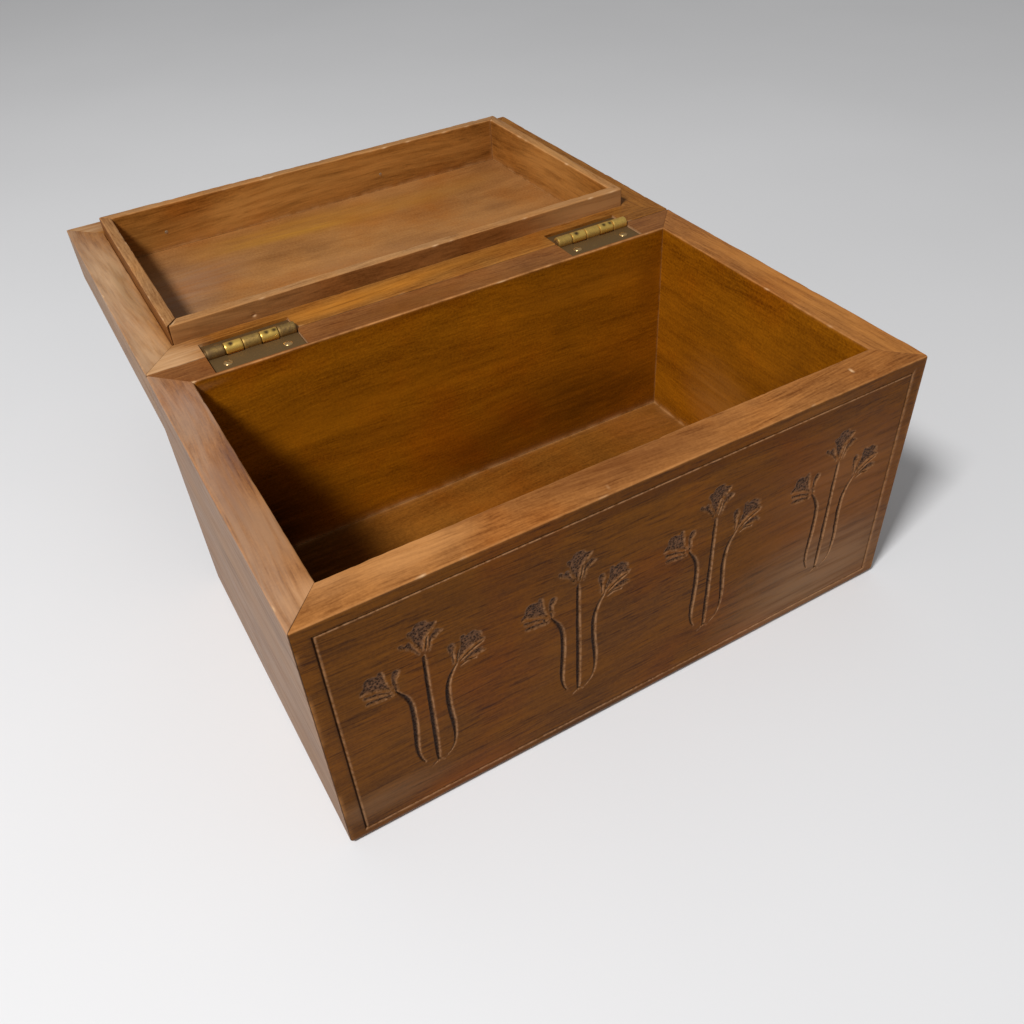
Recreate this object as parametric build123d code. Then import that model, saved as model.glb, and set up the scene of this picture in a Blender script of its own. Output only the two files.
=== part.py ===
from build123d import *
import math
import os

# A keepsake box in stained hardwood, lid laid right back on its two hinges.
# X runs to the right along the front, Y to the back, Z up; the origin is the
# middle of the box's underside.  All sizes are in millimetres.

# Box and lid
box_length = 200.0          # outside, left to right
box_depth = 126.0           # outside, front to back
body_height = 89.5          # the box without its lid
lid_height = 22.8           # the lid without its lip
long_wall = 12.3            # thickness of the front and back walls
end_wall = 11.5             # thickness of the left and right walls
foot_radius = 2.2           # radius round the base and round the lid's top
rim_easing = 0.4            # radius on the arrises of the two rims
seam_gap = 0.3              # between the backs of box and lid, laid open

# Bottom board and lid board, each held by a tongue in a groove
bottom_thickness = 12.2
tray_depth = 11.2           # from the lid's rim down to its board
tongue_thickness = 4.0
tongue_length = 4.0
tongue_end_gap = 0.3        # room for the boards to swell
board_gap = 0.1             # between a board and the walls round it

# Lip: thin strips that line the lid and enter the box when it closes
lip_thickness = 4.0
lip_height = 6.6            # how far the lip stands over the lid's rim
lip_clearance = 0.6         # between the lip and the box's inside, lid shut
lip_easing = 0.4

# Rectangle groove cut in the front
border_end_inset = 5.3      # from the box's ends to the groove's middle
border_edge_inset = 4.3     # from the rim and the base to the groove's middle
border_width = 1.2
border_groove_depth = 0.8

# Butt hinges, each with five rolled knuckles
hinge_end_insets = (34.3, 35.0)  # left and right, from the box's ends to the hinges' middles
leaf_length = 30.0
box_leaf_width = 11.2       # from the pin's axis to the leaf's free edge
lid_leaf_width = 8.0        # narrower, to clear the lip
leaf_thickness = 0.8
knuckle_count = 5
knuckle_gap = 0.2           # between neighbouring knuckles
pin_radius = 1.15
pin_clearance = 0.05        # running fit of the knuckles on the pin
pin_head_length = 0.3       # how far the pin stands out at each end
roll_slit = 0.15            # where the rolled end comes back to its leaf
pin_lift = 0.25             # height of the pin's axis over the rims
turning_clearance = 0.3     # round a knuckle, to the wood and the other leaf
mortise_clearance = 0.3     # round a leaf in its mortise

# Countersunk screws, two in each leaf
screw_spacing = 20.0
box_screw_line = 6.4        # from the pin's axis to the screws
lid_screw_line = 4.9
screw_shank_radius = 0.9
screw_head_radius = 1.6
screw_length = 9.0          # below the leaf's face
screw_clearance = 0.05

# Brads through the long strips of the lip
brad_insets = (34.5, 128.5)  # from the lid's left end
brad_drop = 4.4             # below the lid's rim
brad_length = 11.0
brad_radius = 0.7
brad_clearance = 0.05

# Sizes that follow from the ones above
lid_long_wall = long_wall + lip_clearance
lid_end_wall = end_wall + lip_clearance
lid_board_thickness = lid_height - tray_depth
lid_middle = box_depth + seam_gap
lid_base = body_height - lid_height
tray_floor = body_height - tray_depth
knuckle_radius = pin_radius + pin_clearance + leaf_thickness
knuckle_pitch = leaf_length / knuckle_count
left_hinge_x = hinge_end_insets[0] - box_length / 2
right_hinge_x = box_length / 2 - hinge_end_insets[1]
pin_y = box_depth / 2 + seam_gap / 2
pin_z = body_height + pin_lift
leaf_underside = pin_z - knuckle_radius
leaf_face = leaf_underside + leaf_thickness

SIDES = ("front", "back", "left", "right")
# Laid back, the side of the lid that closes over the box's front lies furthest back.
LID_SIDES = ("back", "front", "left", "right")


def block(length, depth, low, high):
    """A plain block centred on the upright axis, from height low to high."""
    return Pos(0, 0, (low + high) / 2) * Box(length, depth, high - low)


def x_rod(radius, start, end, y, z):
    """A round rod along X."""
    rod = Rot(0, 90, 0) * Cylinder(radius, end - start)
    return Pos((start + end) / 2, y, z) * rod


def board_section(thickness, height, foot, rim):
    """A board's cross-section: its outer face on the left, its foot and rim arrises rounded."""
    section = Rectangle(thickness, height, align=(Align.MIN, Align.MIN))
    section = fillet(section.vertices().group_by(Axis.Y)[-1], rim)
    if foot > 0:
        section = fillet(section.vertices().sort_by_distance((0, 0))[0], foot)
    return section


def frame_side(side, length, depth, end_thickness, long_thickness, height, foot, rim):
    """One side of a four-sided frame that stands on height 0, mitred at both ends."""
    if side in ("front", "back"):
        run, reach, thickness, neighbour = length, depth / 2, long_thickness, end_thickness
    else:
        run, reach, thickness, neighbour = depth, length / 2, end_thickness, long_thickness
    section = board_section(thickness, height, foot, rim)
    board = extrude(Plane.YZ * Pos(-reach, 0) * section, run, both=True)
    # The mitres run from the frame's outer corners to its inner ones, and on past both.
    corners = [
        (end * (run / 2 - share * neighbour), share * thickness - reach)
        for end, share in ((-1, -0.5), (1, -0.5), (1, 1.2), (-1, 1.2))
    ]
    wedge = extrude(Pos(0, 0, -1) * make_face(Polyline(*corners, close=True)), height + 2)
    turn = {"front": 0, "right": 90, "back": 180, "left": 270}[side]
    return Rot(0, 0, turn) * (board & wedge)


def grooved_side(side, end_thickness, long_thickness, height, board_thickness):
    """One side of the box or the lid, with the groove for the tongue of its board."""
    board = frame_side(
        side, box_length, box_depth, end_thickness, long_thickness, height, foot_radius, rim_easing
    )
    low = (board_thickness - tongue_thickness) / 2
    groove = block(
        box_length - 2 * end_thickness + 2 * tongue_length,
        box_depth - 2 * long_thickness + 2 * tongue_length,
        low,
        low + tongue_thickness,
    )
    return board - groove


def tongued_board(end_thickness, long_thickness, thickness):
    """The board that such a frame holds, with a tongue all round half way up its edge."""
    opening_length = box_length - 2 * end_thickness
    opening_depth = box_depth - 2 * long_thickness
    board = block(opening_length - 2 * board_gap, opening_depth - 2 * board_gap, 0, thickness)
    reach = 2 * (tongue_length - tongue_end_gap)
    low = (thickness - tongue_thickness) / 2
    return board + block(opening_length + reach, opening_depth + reach, low, low + tongue_thickness)


def border_groove():
    """The V groove that runs as a rectangle round the front, lying on the front face."""
    length = box_length - 2 * border_end_inset
    height = body_height - 2 * border_edge_inset
    slope = math.degrees(math.atan(border_width / 2 / border_groove_depth))
    face = Plane(origin=(0, -box_depth / 2, body_height / 2), x_dir=(1, 0, 0), z_dir=(0, 1, 0))
    outer = face * Rectangle(length + border_width, height + border_width)
    inner = face * Rectangle(length - border_width, height - border_width)
    outside = extrude(outer, border_groove_depth, taper=slope)
    inside = extrude(inner, border_groove_depth, taper=-slope)
    return outside - inside


def hinge_mortise(x):
    """The room for one hinge in both rims: a flat bed and a hollow under the barrel."""
    length = leaf_length + 2 * mortise_clearance
    front = box_leaf_width + mortise_clearance
    back = lid_leaf_width + mortise_clearance
    bed = Pos(0, (back - front) / 2, 0) * block(length, front + back, leaf_underside, body_height + 1)
    hollow = x_rod(knuckle_radius + turning_clearance, -length / 2, length / 2, 0, pin_z)
    return Pos(x, pin_y, 0) * (bed + hollow)


def screw_shank(clearance=0.0):
    """The shank of a screw whose leaf's face is at height 0."""
    return Pos(0, 0, -screw_length / 2) * Cylinder(screw_shank_radius + clearance, screw_length)


def countersink(clearance):
    """The tapered hole for a screw, from the leaf's face through its thickness."""
    taper = Cone(screw_shank_radius + clearance, screw_head_radius + clearance, leaf_thickness)
    return Pos(0, 0, -leaf_thickness / 2) * taper


def screw():
    """A screw with a flat countersunk head, turned from its half outline."""
    outline = Polyline(
        (0, -screw_length),
        (screw_shank_radius, -screw_length),
        (screw_shank_radius, -leaf_thickness),
        (screw_head_radius, 0),
        (0, 0),
        close=True,
    )
    return revolve(Plane.XZ * make_face(outline), Axis.Z)


def at_screws(x, side, shape):
    """Copies of a shape at the two screws of a leaf; side is -1 on the box, 1 on the lid."""
    line = -box_screw_line if side < 0 else lid_screw_line
    return [
        Pos(x + end * screw_spacing / 2, pin_y + line, leaf_face) * shape
        for end in (-1, 1)
    ]


def hinge_leaf(x, side):
    """One leaf: odd knuckles on the box (side -1), even ones on the lid (side 1)."""
    width = box_leaf_width if side < 0 else lid_leaf_width
    plate = Pos(0, side * width / 2, leaf_thickness / 2) * Box(leaf_length, width, leaf_thickness)
    rise = knuckle_radius - leaf_thickness
    clear_radius = knuckle_radius + turning_clearance
    notch_reach = math.sqrt(clear_radius**2 - rise**2)
    leaf = plate
    rolls = []
    for number in range(knuckle_count):
        start = -leaf_length / 2 + number * knuckle_pitch
        end = start + knuckle_pitch
        own = (number % 2 == 0) == (side < 0)
        if own:
            first = start if number == 0 else start + knuckle_gap / 2
            last = end if number == knuckle_count - 1 else end - knuckle_gap / 2
            rolls.append(x_rod(knuckle_radius, first, last, 0, knuckle_radius))
        else:
            before = start - (knuckle_gap / 2 if number > 0 else 1)
            after = end + (knuckle_gap / 2 if number < knuckle_count - 1 else 1)
            notch = Box(after - before, 2 * notch_reach, 3 * leaf_thickness)
            leaf -= Pos((before + after) / 2, 0, leaf_thickness / 2) * notch
    for roll in rolls:
        leaf += roll
    leaf -= x_rod(pin_radius + pin_clearance, -leaf_length, leaf_length, 0, knuckle_radius)
    slit = Box(2 * leaf_length, knuckle_radius, roll_slit)
    leaf -= Pos(0, side * (knuckle_radius / 2 + pin_radius / 3), leaf_thickness + roll_slit / 2) * slit
    leaf = Pos(x, pin_y, leaf_underside) * leaf
    for hole in at_screws(x, side, countersink(screw_clearance)):
        leaf -= hole
    return leaf


def hinge_pin(x):
    """The pin, a little longer than the barrel."""
    reach = leaf_length / 2 + pin_head_length
    return x_rod(pin_radius, x - reach, x + reach, pin_y, pin_z)


def brad(clearance=0.0):
    """A headless brad that points along -Y from its end at the origin."""
    return Pos(0, -brad_length / 2, 0) * Rot(90, 0, 0) * Cylinder(brad_radius + clearance, brad_length)


def lip_brads(side, shape):
    """Copies of a brad in one long strip of the lip; side is 1 at the front, -1 at the back."""
    inner_face = box_depth / 2 - lid_long_wall - lip_thickness
    turn = Rot(0, 0, 180) if side > 0 else Rot(0, 0, 0)
    return [
        Pos(inset - box_length / 2, lid_middle + side * inner_face, body_height - brad_drop) * turn * shape
        for inset in brad_insets
    ]


def box_body():
    """The walls and the bottom board."""
    walls = {
        side + "_wall": grooved_side(side, end_wall, long_wall, body_height, bottom_thickness)
        for side in SIDES
    }
    walls["front_wall"] -= border_groove()
    for x in (left_hinge_x, right_hinge_x):
        walls["back_wall"] -= hinge_mortise(x)
        for hole in at_screws(x, -1, screw_shank(screw_clearance)):
            walls["back_wall"] -= hole
    walls["bottom_board"] = tongued_board(end_wall, long_wall, bottom_thickness)
    return walls


def lid_body():
    """The lid's rails and board, laid open behind the box with the rim upwards."""
    place = Pos(0, lid_middle, lid_base)
    rails = {
        "lid_" + name + "_rail": place * grooved_side(
            side, lid_end_wall, lid_long_wall, lid_height, lid_board_thickness
        )
        for side, name in zip(SIDES, LID_SIDES)
    }
    for x in (left_hinge_x, right_hinge_x):
        rails["lid_back_rail"] -= hinge_mortise(x)
        for hole in at_screws(x, 1, screw_shank(screw_clearance)):
            rails["lid_back_rail"] -= hole
    rails["lid_board"] = place * tongued_board(lid_end_wall, lid_long_wall, lid_board_thickness)
    return rails


def lip():
    """The four strips of the lip, standing on the lid board against the rails."""
    length = box_length - 2 * lid_end_wall
    depth = box_depth - 2 * lid_long_wall
    height = tray_depth + lip_height
    place = Pos(0, lid_middle, tray_floor)
    return {
        "lip_" + name: place * frame_side(
            side, length, depth, lip_thickness, lip_thickness, height, 0, lip_easing
        )
        for side, name in zip(SIDES, LID_SIDES)
    }


def hinges():
    """Leaves, pins and screws of both hinges."""
    pieces = {}
    for name, x in (("left", left_hinge_x), ("right", right_hinge_x)):
        pieces[name + "_box_leaf"] = hinge_leaf(x, -1)
        pieces[name + "_lid_leaf"] = hinge_leaf(x, 1)
        pieces[name + "_hinge_pin"] = hinge_pin(x)
        pieces[name + "_box_screws"] = Compound(children=at_screws(x, -1, screw()))
        pieces[name + "_lid_screws"] = Compound(children=at_screws(x, 1, screw()))
    return pieces


def build():
    """Every piece of the box, by the name of its node."""
    pieces = {**box_body(), **lid_body(), **lip(), **hinges()}
    brads = []
    for side, name in ((1, "front"), (-1, "back")):
        for hole in lip_brads(side, brad(brad_clearance)):
            pieces["lip_" + name] -= hole
            pieces["lid_" + name + "_rail"] -= hole
        brads += lip_brads(side, brad())
    pieces["lip_brads"] = Compound(children=brads)
    return pieces


os.makedirs("parts", exist_ok=True)
for node, piece in build().items():
    export_step(piece, "parts/" + node + ".step")
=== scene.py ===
"""Looks of a keepsake box in stained hardwood, its lid laid right back on two hinges.

Everything is in metres in the frame of the CAD: X to the right along the front,
Y to the back, Z up, the origin in the middle of the box's underside.
"""

import math
from collections import namedtuple
from functools import reduce

import bmesh
import bpy
import numpy as np
from bpy.props import FloatProperty, FloatVectorProperty, IntProperty, PointerProperty
from mathutils import Matrix, Vector
from mathutils.bvhtree import BVHTree
from mathutils.geometry import delaunay_2d_cdt
from mathutils.kdtree import KDTree


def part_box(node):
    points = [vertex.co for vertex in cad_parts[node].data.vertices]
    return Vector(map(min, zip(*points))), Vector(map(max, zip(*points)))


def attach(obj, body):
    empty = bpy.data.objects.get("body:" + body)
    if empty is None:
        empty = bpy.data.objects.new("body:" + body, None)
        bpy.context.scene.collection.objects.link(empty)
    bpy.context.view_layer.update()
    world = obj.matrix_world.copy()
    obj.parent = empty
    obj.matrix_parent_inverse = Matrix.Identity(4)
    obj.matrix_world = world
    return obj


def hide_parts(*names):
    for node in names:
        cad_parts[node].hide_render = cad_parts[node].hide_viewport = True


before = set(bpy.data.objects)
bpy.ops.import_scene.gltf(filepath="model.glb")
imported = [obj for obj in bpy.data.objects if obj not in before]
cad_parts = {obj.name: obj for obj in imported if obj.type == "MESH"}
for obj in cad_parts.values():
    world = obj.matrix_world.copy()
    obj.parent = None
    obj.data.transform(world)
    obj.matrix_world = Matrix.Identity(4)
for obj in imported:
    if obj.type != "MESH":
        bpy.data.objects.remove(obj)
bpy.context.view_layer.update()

bl_info = {
    "name": "Keepsake box",
    "version": (1, 0, 0),
    "blender": (4, 5, 0),
    "location": "3D View > Sidebar > Keepsake",
    "description": "Builds the visual pieces of a mitred and carved keepsake box",
    "category": "Object",
}

MM = 0.001
FOOT_RADIUS = 2.2 * MM      # round the base of the box and the top of the lid
RIM_EASING = 0.4 * MM
LEAF = 0.8 * MM             # thickness of a hinge's leaf
HALF_GAP = 0.1 * MM         # half the gap between two knuckles
LEAF_CLEARANCE = 0.3 * MM   # from a leaf or its knuckles to the wood
PIN_CLEARANCE = 0.05 * MM   # round a pin or a screw's head
SMOOTH_ANGLE = math.radians(38)
GRAIN_GAIN = 2.0            # how strongly the grain shows at all its scales
WOOD_SPECULAR = 0.07


def mm(*values):
    """Metres from millimetres."""
    return tuple(value * MM for value in values)


# ---------------------------------------------------------------- frame of the CAD

MitredFrame = namedtuple("MitredFrame", "x0 x1 y0 y1 z0 z1 long end")


def mitred_frame(nodes):
    """Outer corners, heights and board thicknesses of a mitred frame, from its CAD nodes."""
    boxes = {side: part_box(node) for side, node in nodes.items()}
    low = [min(box[0][axis] for box in boxes.values()) for axis in range(3)]
    high = [max(box[1][axis] for box in boxes.values()) for axis in range(3)]
    return MitredFrame(low[0], high[0], low[1], high[1], low[2], high[2],
                       boxes["front"][1].y - boxes["front"][0].y, boxes["left"][1].x - boxes["left"][0].x)


# Laid back, the lid's back rail and the lip's back strip are the ones nearest the box.
BOX_NODES = dict(front="front_wall", back="back_wall", left="left_wall", right="right_wall")
LID_NODES = dict(front="lid_back_rail", back="lid_front_rail", left="lid_left_rail", right="lid_right_rail")
LIP_NODES = dict(front="lip_back", back="lip_front", left="lip_left", right="lip_right")
BOX, LID, LIP = (mitred_frame(nodes) for nodes in (BOX_NODES, LID_NODES, LIP_NODES))
FLOOR_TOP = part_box("bottom_board")[1].z
TRAY_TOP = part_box("lid_board")[1].z
SEAM = (BOX.y1 + LID.y0) / 2
HINGES = ("left", "right")


# ---------------------------------------------------------------- what a user would change

def srgb(red, green, blue):
    """A colour as shown on screen, 0 to 255, in the linear values that Blender uses."""
    return tuple(
        value / 12.92 if value <= 0.04045 else ((value + 0.055) / 1.055) ** 2.4
        for value in (red / 255, green / 255, blue / 255)
    )


def length(name, description, default):
    """A length, in metres."""
    return FloatProperty(name=name, description=description, default=default, unit="LENGTH",
                         subtype="DISTANCE", precision=5)


def angle(name, description, degrees):
    """An angle."""
    return FloatProperty(name=name, description=description, default=math.radians(degrees), unit="ROTATION")


def spot(name, description, default):
    """A place in the scene."""
    return FloatVectorProperty(name=name, description=description, default=default, unit="LENGTH")


def colour(name, description, default):
    """A colour."""
    return FloatVectorProperty(name=name, description=description, default=default, subtype="COLOR",
                               size=3, min=0, max=1)


def whole(name, description, default, least=0):
    """A whole number."""
    return IntProperty(name=name, description=description, default=default, min=least)


# How strongly each scale of the grain shows.
Figure = namedtuple("Figure", "bands streaks fibres dashes blotch specks")
LIVELY = Figure(0.36, 0.34, 0.56, 0.09, 0.34, 0.26)
PLAIN = Figure(0.28, 0.28, 0.56, 0.07, 0.44, 0.26)
SOFT = Figure(0.40, 0.22, 0.40, 0.02, 0.36, 0.42)
SMOOTH = Figure(0.16, 0.12, 0.22, 0.0, 0.56, 0.30)
# Each kind of face: where it is, its darkest and lightest grain, and how its grain shows.
KINDS = {
    "front": ("the carved front", (62, 31, 3), (126, 74, 14), LIVELY),
    "side": ("the other outer faces", (88, 54, 30), (146, 104, 66), PLAIN),
    "rim": ("the rim's top", (108, 60, 22), (190, 126, 66), PLAIN),
    "hinge_rim": ("the rim that carries the hinges", (96, 52, 22), (156, 102, 54), PLAIN),
    "border": ("the lid's border", (100, 56, 16), (172, 114, 50), PLAIN),
    "inside": ("the inside", (102, 52, 2), (186, 112, 12), SOFT),
    "tray": ("the lid's inside", (116, 70, 32), (188, 132, 74), SMOOTH),
    "floor": ("the bottom board's top", (80, 42, 8), (152, 94, 30), SOFT),
    "tray_wall": ("the lip's inner faces", (100, 56, 14), (178, 114, 48), PLAIN),
    "lip": ("the lip", (90, 50, 16), (158, 102, 52), PLAIN),
    "lip_top": ("the lip's top", (122, 78, 40), (192, 142, 90), PLAIN),
}


class KeepsakeWood(bpy.types.PropertyGroup):
    """Colours and wear of the boards."""

    worn: colour("Worn wood", "Wood that shows where the stain has rubbed off", srgb(196, 136, 80))
    raw: colour("Raw wood", "Bare wood in a chip or a fresh cut", srgb(226, 184, 138))
    joint: colour("Joint line", "Dark line where two boards meet", srgb(44, 24, 12))
    glue: colour("Dried glue", "Traces of glue and old wax in the inner corners", srgb(190, 140, 88))
    hollow_dark: colour("Hollow, dark", "Pits of the stippled hollows", srgb(28, 13, 6))
    hollow_light: colour("Hollow, light", "Ridges of the stippled hollows", srgb(114, 78, 52))
    # Painted shade: colour laid on the sides of the hollows that are turned away from the light.
    lee: colour("Lee", "Dirt in the hollows on the side away from the light", srgb(30, 14, 6))
    # Painted highlight: pale colour laid mostly along the edges of hollows that face the light.
    brink: colour("Brink", "Rubbed edge of a carved hollow", srgb(184, 138, 98))
    corner_radius: length("Corner radius", "Radius worn on the upright corners", 0.8 * MM)
    arris_wear: length("Arris wear", "How deep the worn stretches of an arris go", 0.16 * MM)
    face_wave: length("Face wave", "How far a face strays from flat", 0.05 * MM)
    nick_depth: length("Nick depth", "Depth of the deepest small nicks on the arrises", 0.3 * MM)
    nick_count: whole("Nicks", "Small nicks on each arris", 5)


for kind, (where, dark, light, _) in KINDS.items():
    for tone, shown in (("dark", dark), ("light", light)):
        title = f"{kind.replace('_', ' ').capitalize()}, {tone}"
        # "Darkest" and "Lightest".
        KeepsakeWood.__annotations__[f"{kind}_{tone}"] = colour(
            title, f"{tone.capitalize()}est grain of {where}", srgb(*shown))


class KeepsakeCarving(bpy.types.PropertyGroup):
    """Sizes of the flower sprigs carved in the front."""

    count: whole("Sprigs", "How many sprigs stand along the front", 4, least=1)
    pitch: length("Pitch", "From one sprig's foot to the next", 46.6 * MM)
    foot_height: length("Foot height", "From the base to the foot of a sprig's middle stem", 18.8 * MM)
    stem_depth: length("Stem depth", "Depth of the stems' grooves", 0.6 * MM)
    petal_depth: length("Petal depth", "Depth of the hollowed flower heads", 0.36 * MM)
    edge_width: length("Edge width", "Width of the sloping edge round a hollow", 0.36 * MM)
    brink_width: length("Brink width", "Width of the pale line along an edge", 0.24 * MM)
    tool_marks: length("Tool marks", "Height of the marks left in the hollows", 0.3 * MM)
    mark_size: length("Mark size", "Length of one tool mark", 0.9 * MM)
    variation: FloatProperty(name="Variation", description="How much the sprigs differ from each other",
                             default=0.015, subtype="FACTOR", min=0, max=1)
    seed: whole("Seed", "Seed of the differences and tool marks", 3)


class KeepsakeMetal(bpy.types.PropertyGroup):
    """Colours and sizes of the hinges and their fasteners."""

    tarnished: colour("Tarnished brass", "Brass dark with age", srgb(130, 102, 64))
    bright: colour("Bright brass", "Brass rubbed bright", srgb(248, 204, 104))
    screw: colour("Screw brass", "Brass of the screw heads", srgb(206, 168, 112))
    steel: colour("Brad steel", "Steel of the brads", srgb(196, 178, 150))
    plate_easing: length("Plate easing", "Bevel on the edges of a hinge leaf", 0.12 * MM)
    knuckle_easing: length("Knuckle easing", "Radius on the ends of a knuckle", 0.3 * MM)
    head_rise: length("Head rise", "How far a screw's head swells over the leaf", 0.5 * MM)
    slot_width: length("Slot width", "Width of the slot in a screw head", 0.45 * MM)
    slot_depth: length("Slot depth", "Depth of the slot in a screw head", 0.4 * MM)
    seed: whole("Seed", "Seed of the turn of each screw", 11)


class KeepsakeStage(bpy.types.PropertyGroup):
    """Floor, lamps and camera."""

    floor: colour("Floor", "Colour of the floor", (0.8, 0.8, 0.81))
    key_power: FloatProperty(name="Key power", description="Power of the key lamp", default=16, unit="POWER")
    key_size: length("Key size", "Width of the key lamp", 0.22)
    key_place: spot("Key place", "Where the key lamp hangs", (-0.69, -0.36, 1.1))
    sky: FloatProperty(name="Sky", description="Strength of the light from all round", default=0.27, min=0)
    camera_place: spot("Camera place", "Where the camera stands", (-0.12092, -0.21587, 0.24891))
    heading: angle("Heading", "Camera's turn from +Y towards +X", 27.46)
    dip: angle("Dip", "How far the camera looks down", 41.34)
    roll: angle("Roll", "Camera's turn about its line of sight", 4.09)
    lens: FloatProperty(name="Lens", description="Focal length in millimetres", default=33.93, min=1)


# ---------------------------------------------------------------- node trees

class Graph:
    """Adds nodes to a node tree and joins them."""

    def __init__(self, tree):
        self.tree = tree
        tree.nodes.clear()

    def add(self, kind, inputs=None, **settings):
        """A node of a kind; inputs maps a socket's name or number to a value or another socket."""
        node = self.tree.nodes.new(kind)
        node.location.x = 170 * len(self.tree.nodes)
        for key, value in settings.items():
            setattr(node, key, value)
        for key, value in (inputs or {}).items():
            socket = node.inputs[key]
            if isinstance(value, bpy.types.NodeSocket):
                self.tree.links.new(value, socket)
            elif socket.type == "RGBA" and len(value) == 3:
                socket.default_value = (*value, 1)
            else:
                socket.default_value = value
        return node

    def math(self, operation, *values, clamp=False):
        """A sum on numbers."""
        return self.add("ShaderNodeMath", dict(enumerate(values)), operation=operation,
                        use_clamp=clamp).outputs[0]

    def times(self, *values):
        """The product of numbers."""
        return reduce(lambda first, second: self.math("MULTIPLY", first, second), values)

    def vector(self, operation, *values, **scale):
        """A sum on vectors; only SCALE takes a Scale."""
        node = self.add("ShaderNodeVectorMath", {**dict(enumerate(values)), **scale}, operation=operation)
        return node.outputs["Value" if operation in ("LENGTH", "DOT_PRODUCT") else "Vector"]

    def combined(self, **axes):
        """A vector of numbers."""
        return self.add("ShaderNodeCombineXYZ", axes).outputs[0]

    def remap(self, value, low, high, to_low=0.0, to_high=1.0, kind="LINEAR"):
        """Moves a number from one range to another, held between the ends."""
        return self.add("ShaderNodeMapRange", {0: value, 1: low, 2: high, 3: to_low, 4: to_high},
                        interpolation_type=kind).outputs[0]

    def noise(self, place, scale, detail=2.0, roughness=0.5, output=0):
        """Noise between 0 and 1 at a place."""
        return self.add("ShaderNodeTexNoise", {
            "Vector": place, "Scale": scale, "Detail": detail, "Roughness": roughness}).outputs[output]

    def blend(self, factor, first, second, how="MIX"):
        """A colour between two colours."""
        return self.add("ShaderNodeMix", {0: factor, 6: first, 7: second}, data_type="RGBA",
                        blend_type=how).outputs[2]

    def attribute(self, name):
        """A number stored on the piece's own mesh, for a material."""
        return self.add("ShaderNodeAttribute", attribute_name=name).outputs["Fac"]

    def stored(self, name, kind="FLOAT"):
        """A number or vector stored on the mesh, for a geometry tree."""
        return self.add("GeometryNodeInputNamedAttribute", {"Name": name}, data_type=kind).outputs[0]

    def chance(self, low, high, seed):
        """A random number for each point or copy."""
        return self.add("FunctionNodeRandomValue", {2: low, 3: high, "Seed": seed},
                        data_type="FLOAT").outputs[1]


def new_material(name):
    """A material with an empty tree, its Graph, and its Object coordinates."""
    material = bpy.data.materials.new(name)
    material.use_nodes = True
    graph = Graph(material.node_tree)
    return material, graph, graph.add("ShaderNodeTexCoord").outputs["Object"]


def close_material(graph, inputs, bump, depth):
    """The shader and output of a material, with a bump of a height in metres."""
    normal = graph.add("ShaderNodeBump", {"Height": bump, "Distance": depth, "Strength": 1.0}).outputs[0]
    shader = graph.add("ShaderNodeBsdfPrincipled", {**inputs, "Normal": normal})
    graph.add("ShaderNodeOutputMaterial", {"Surface": shader.outputs[0]})


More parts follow.
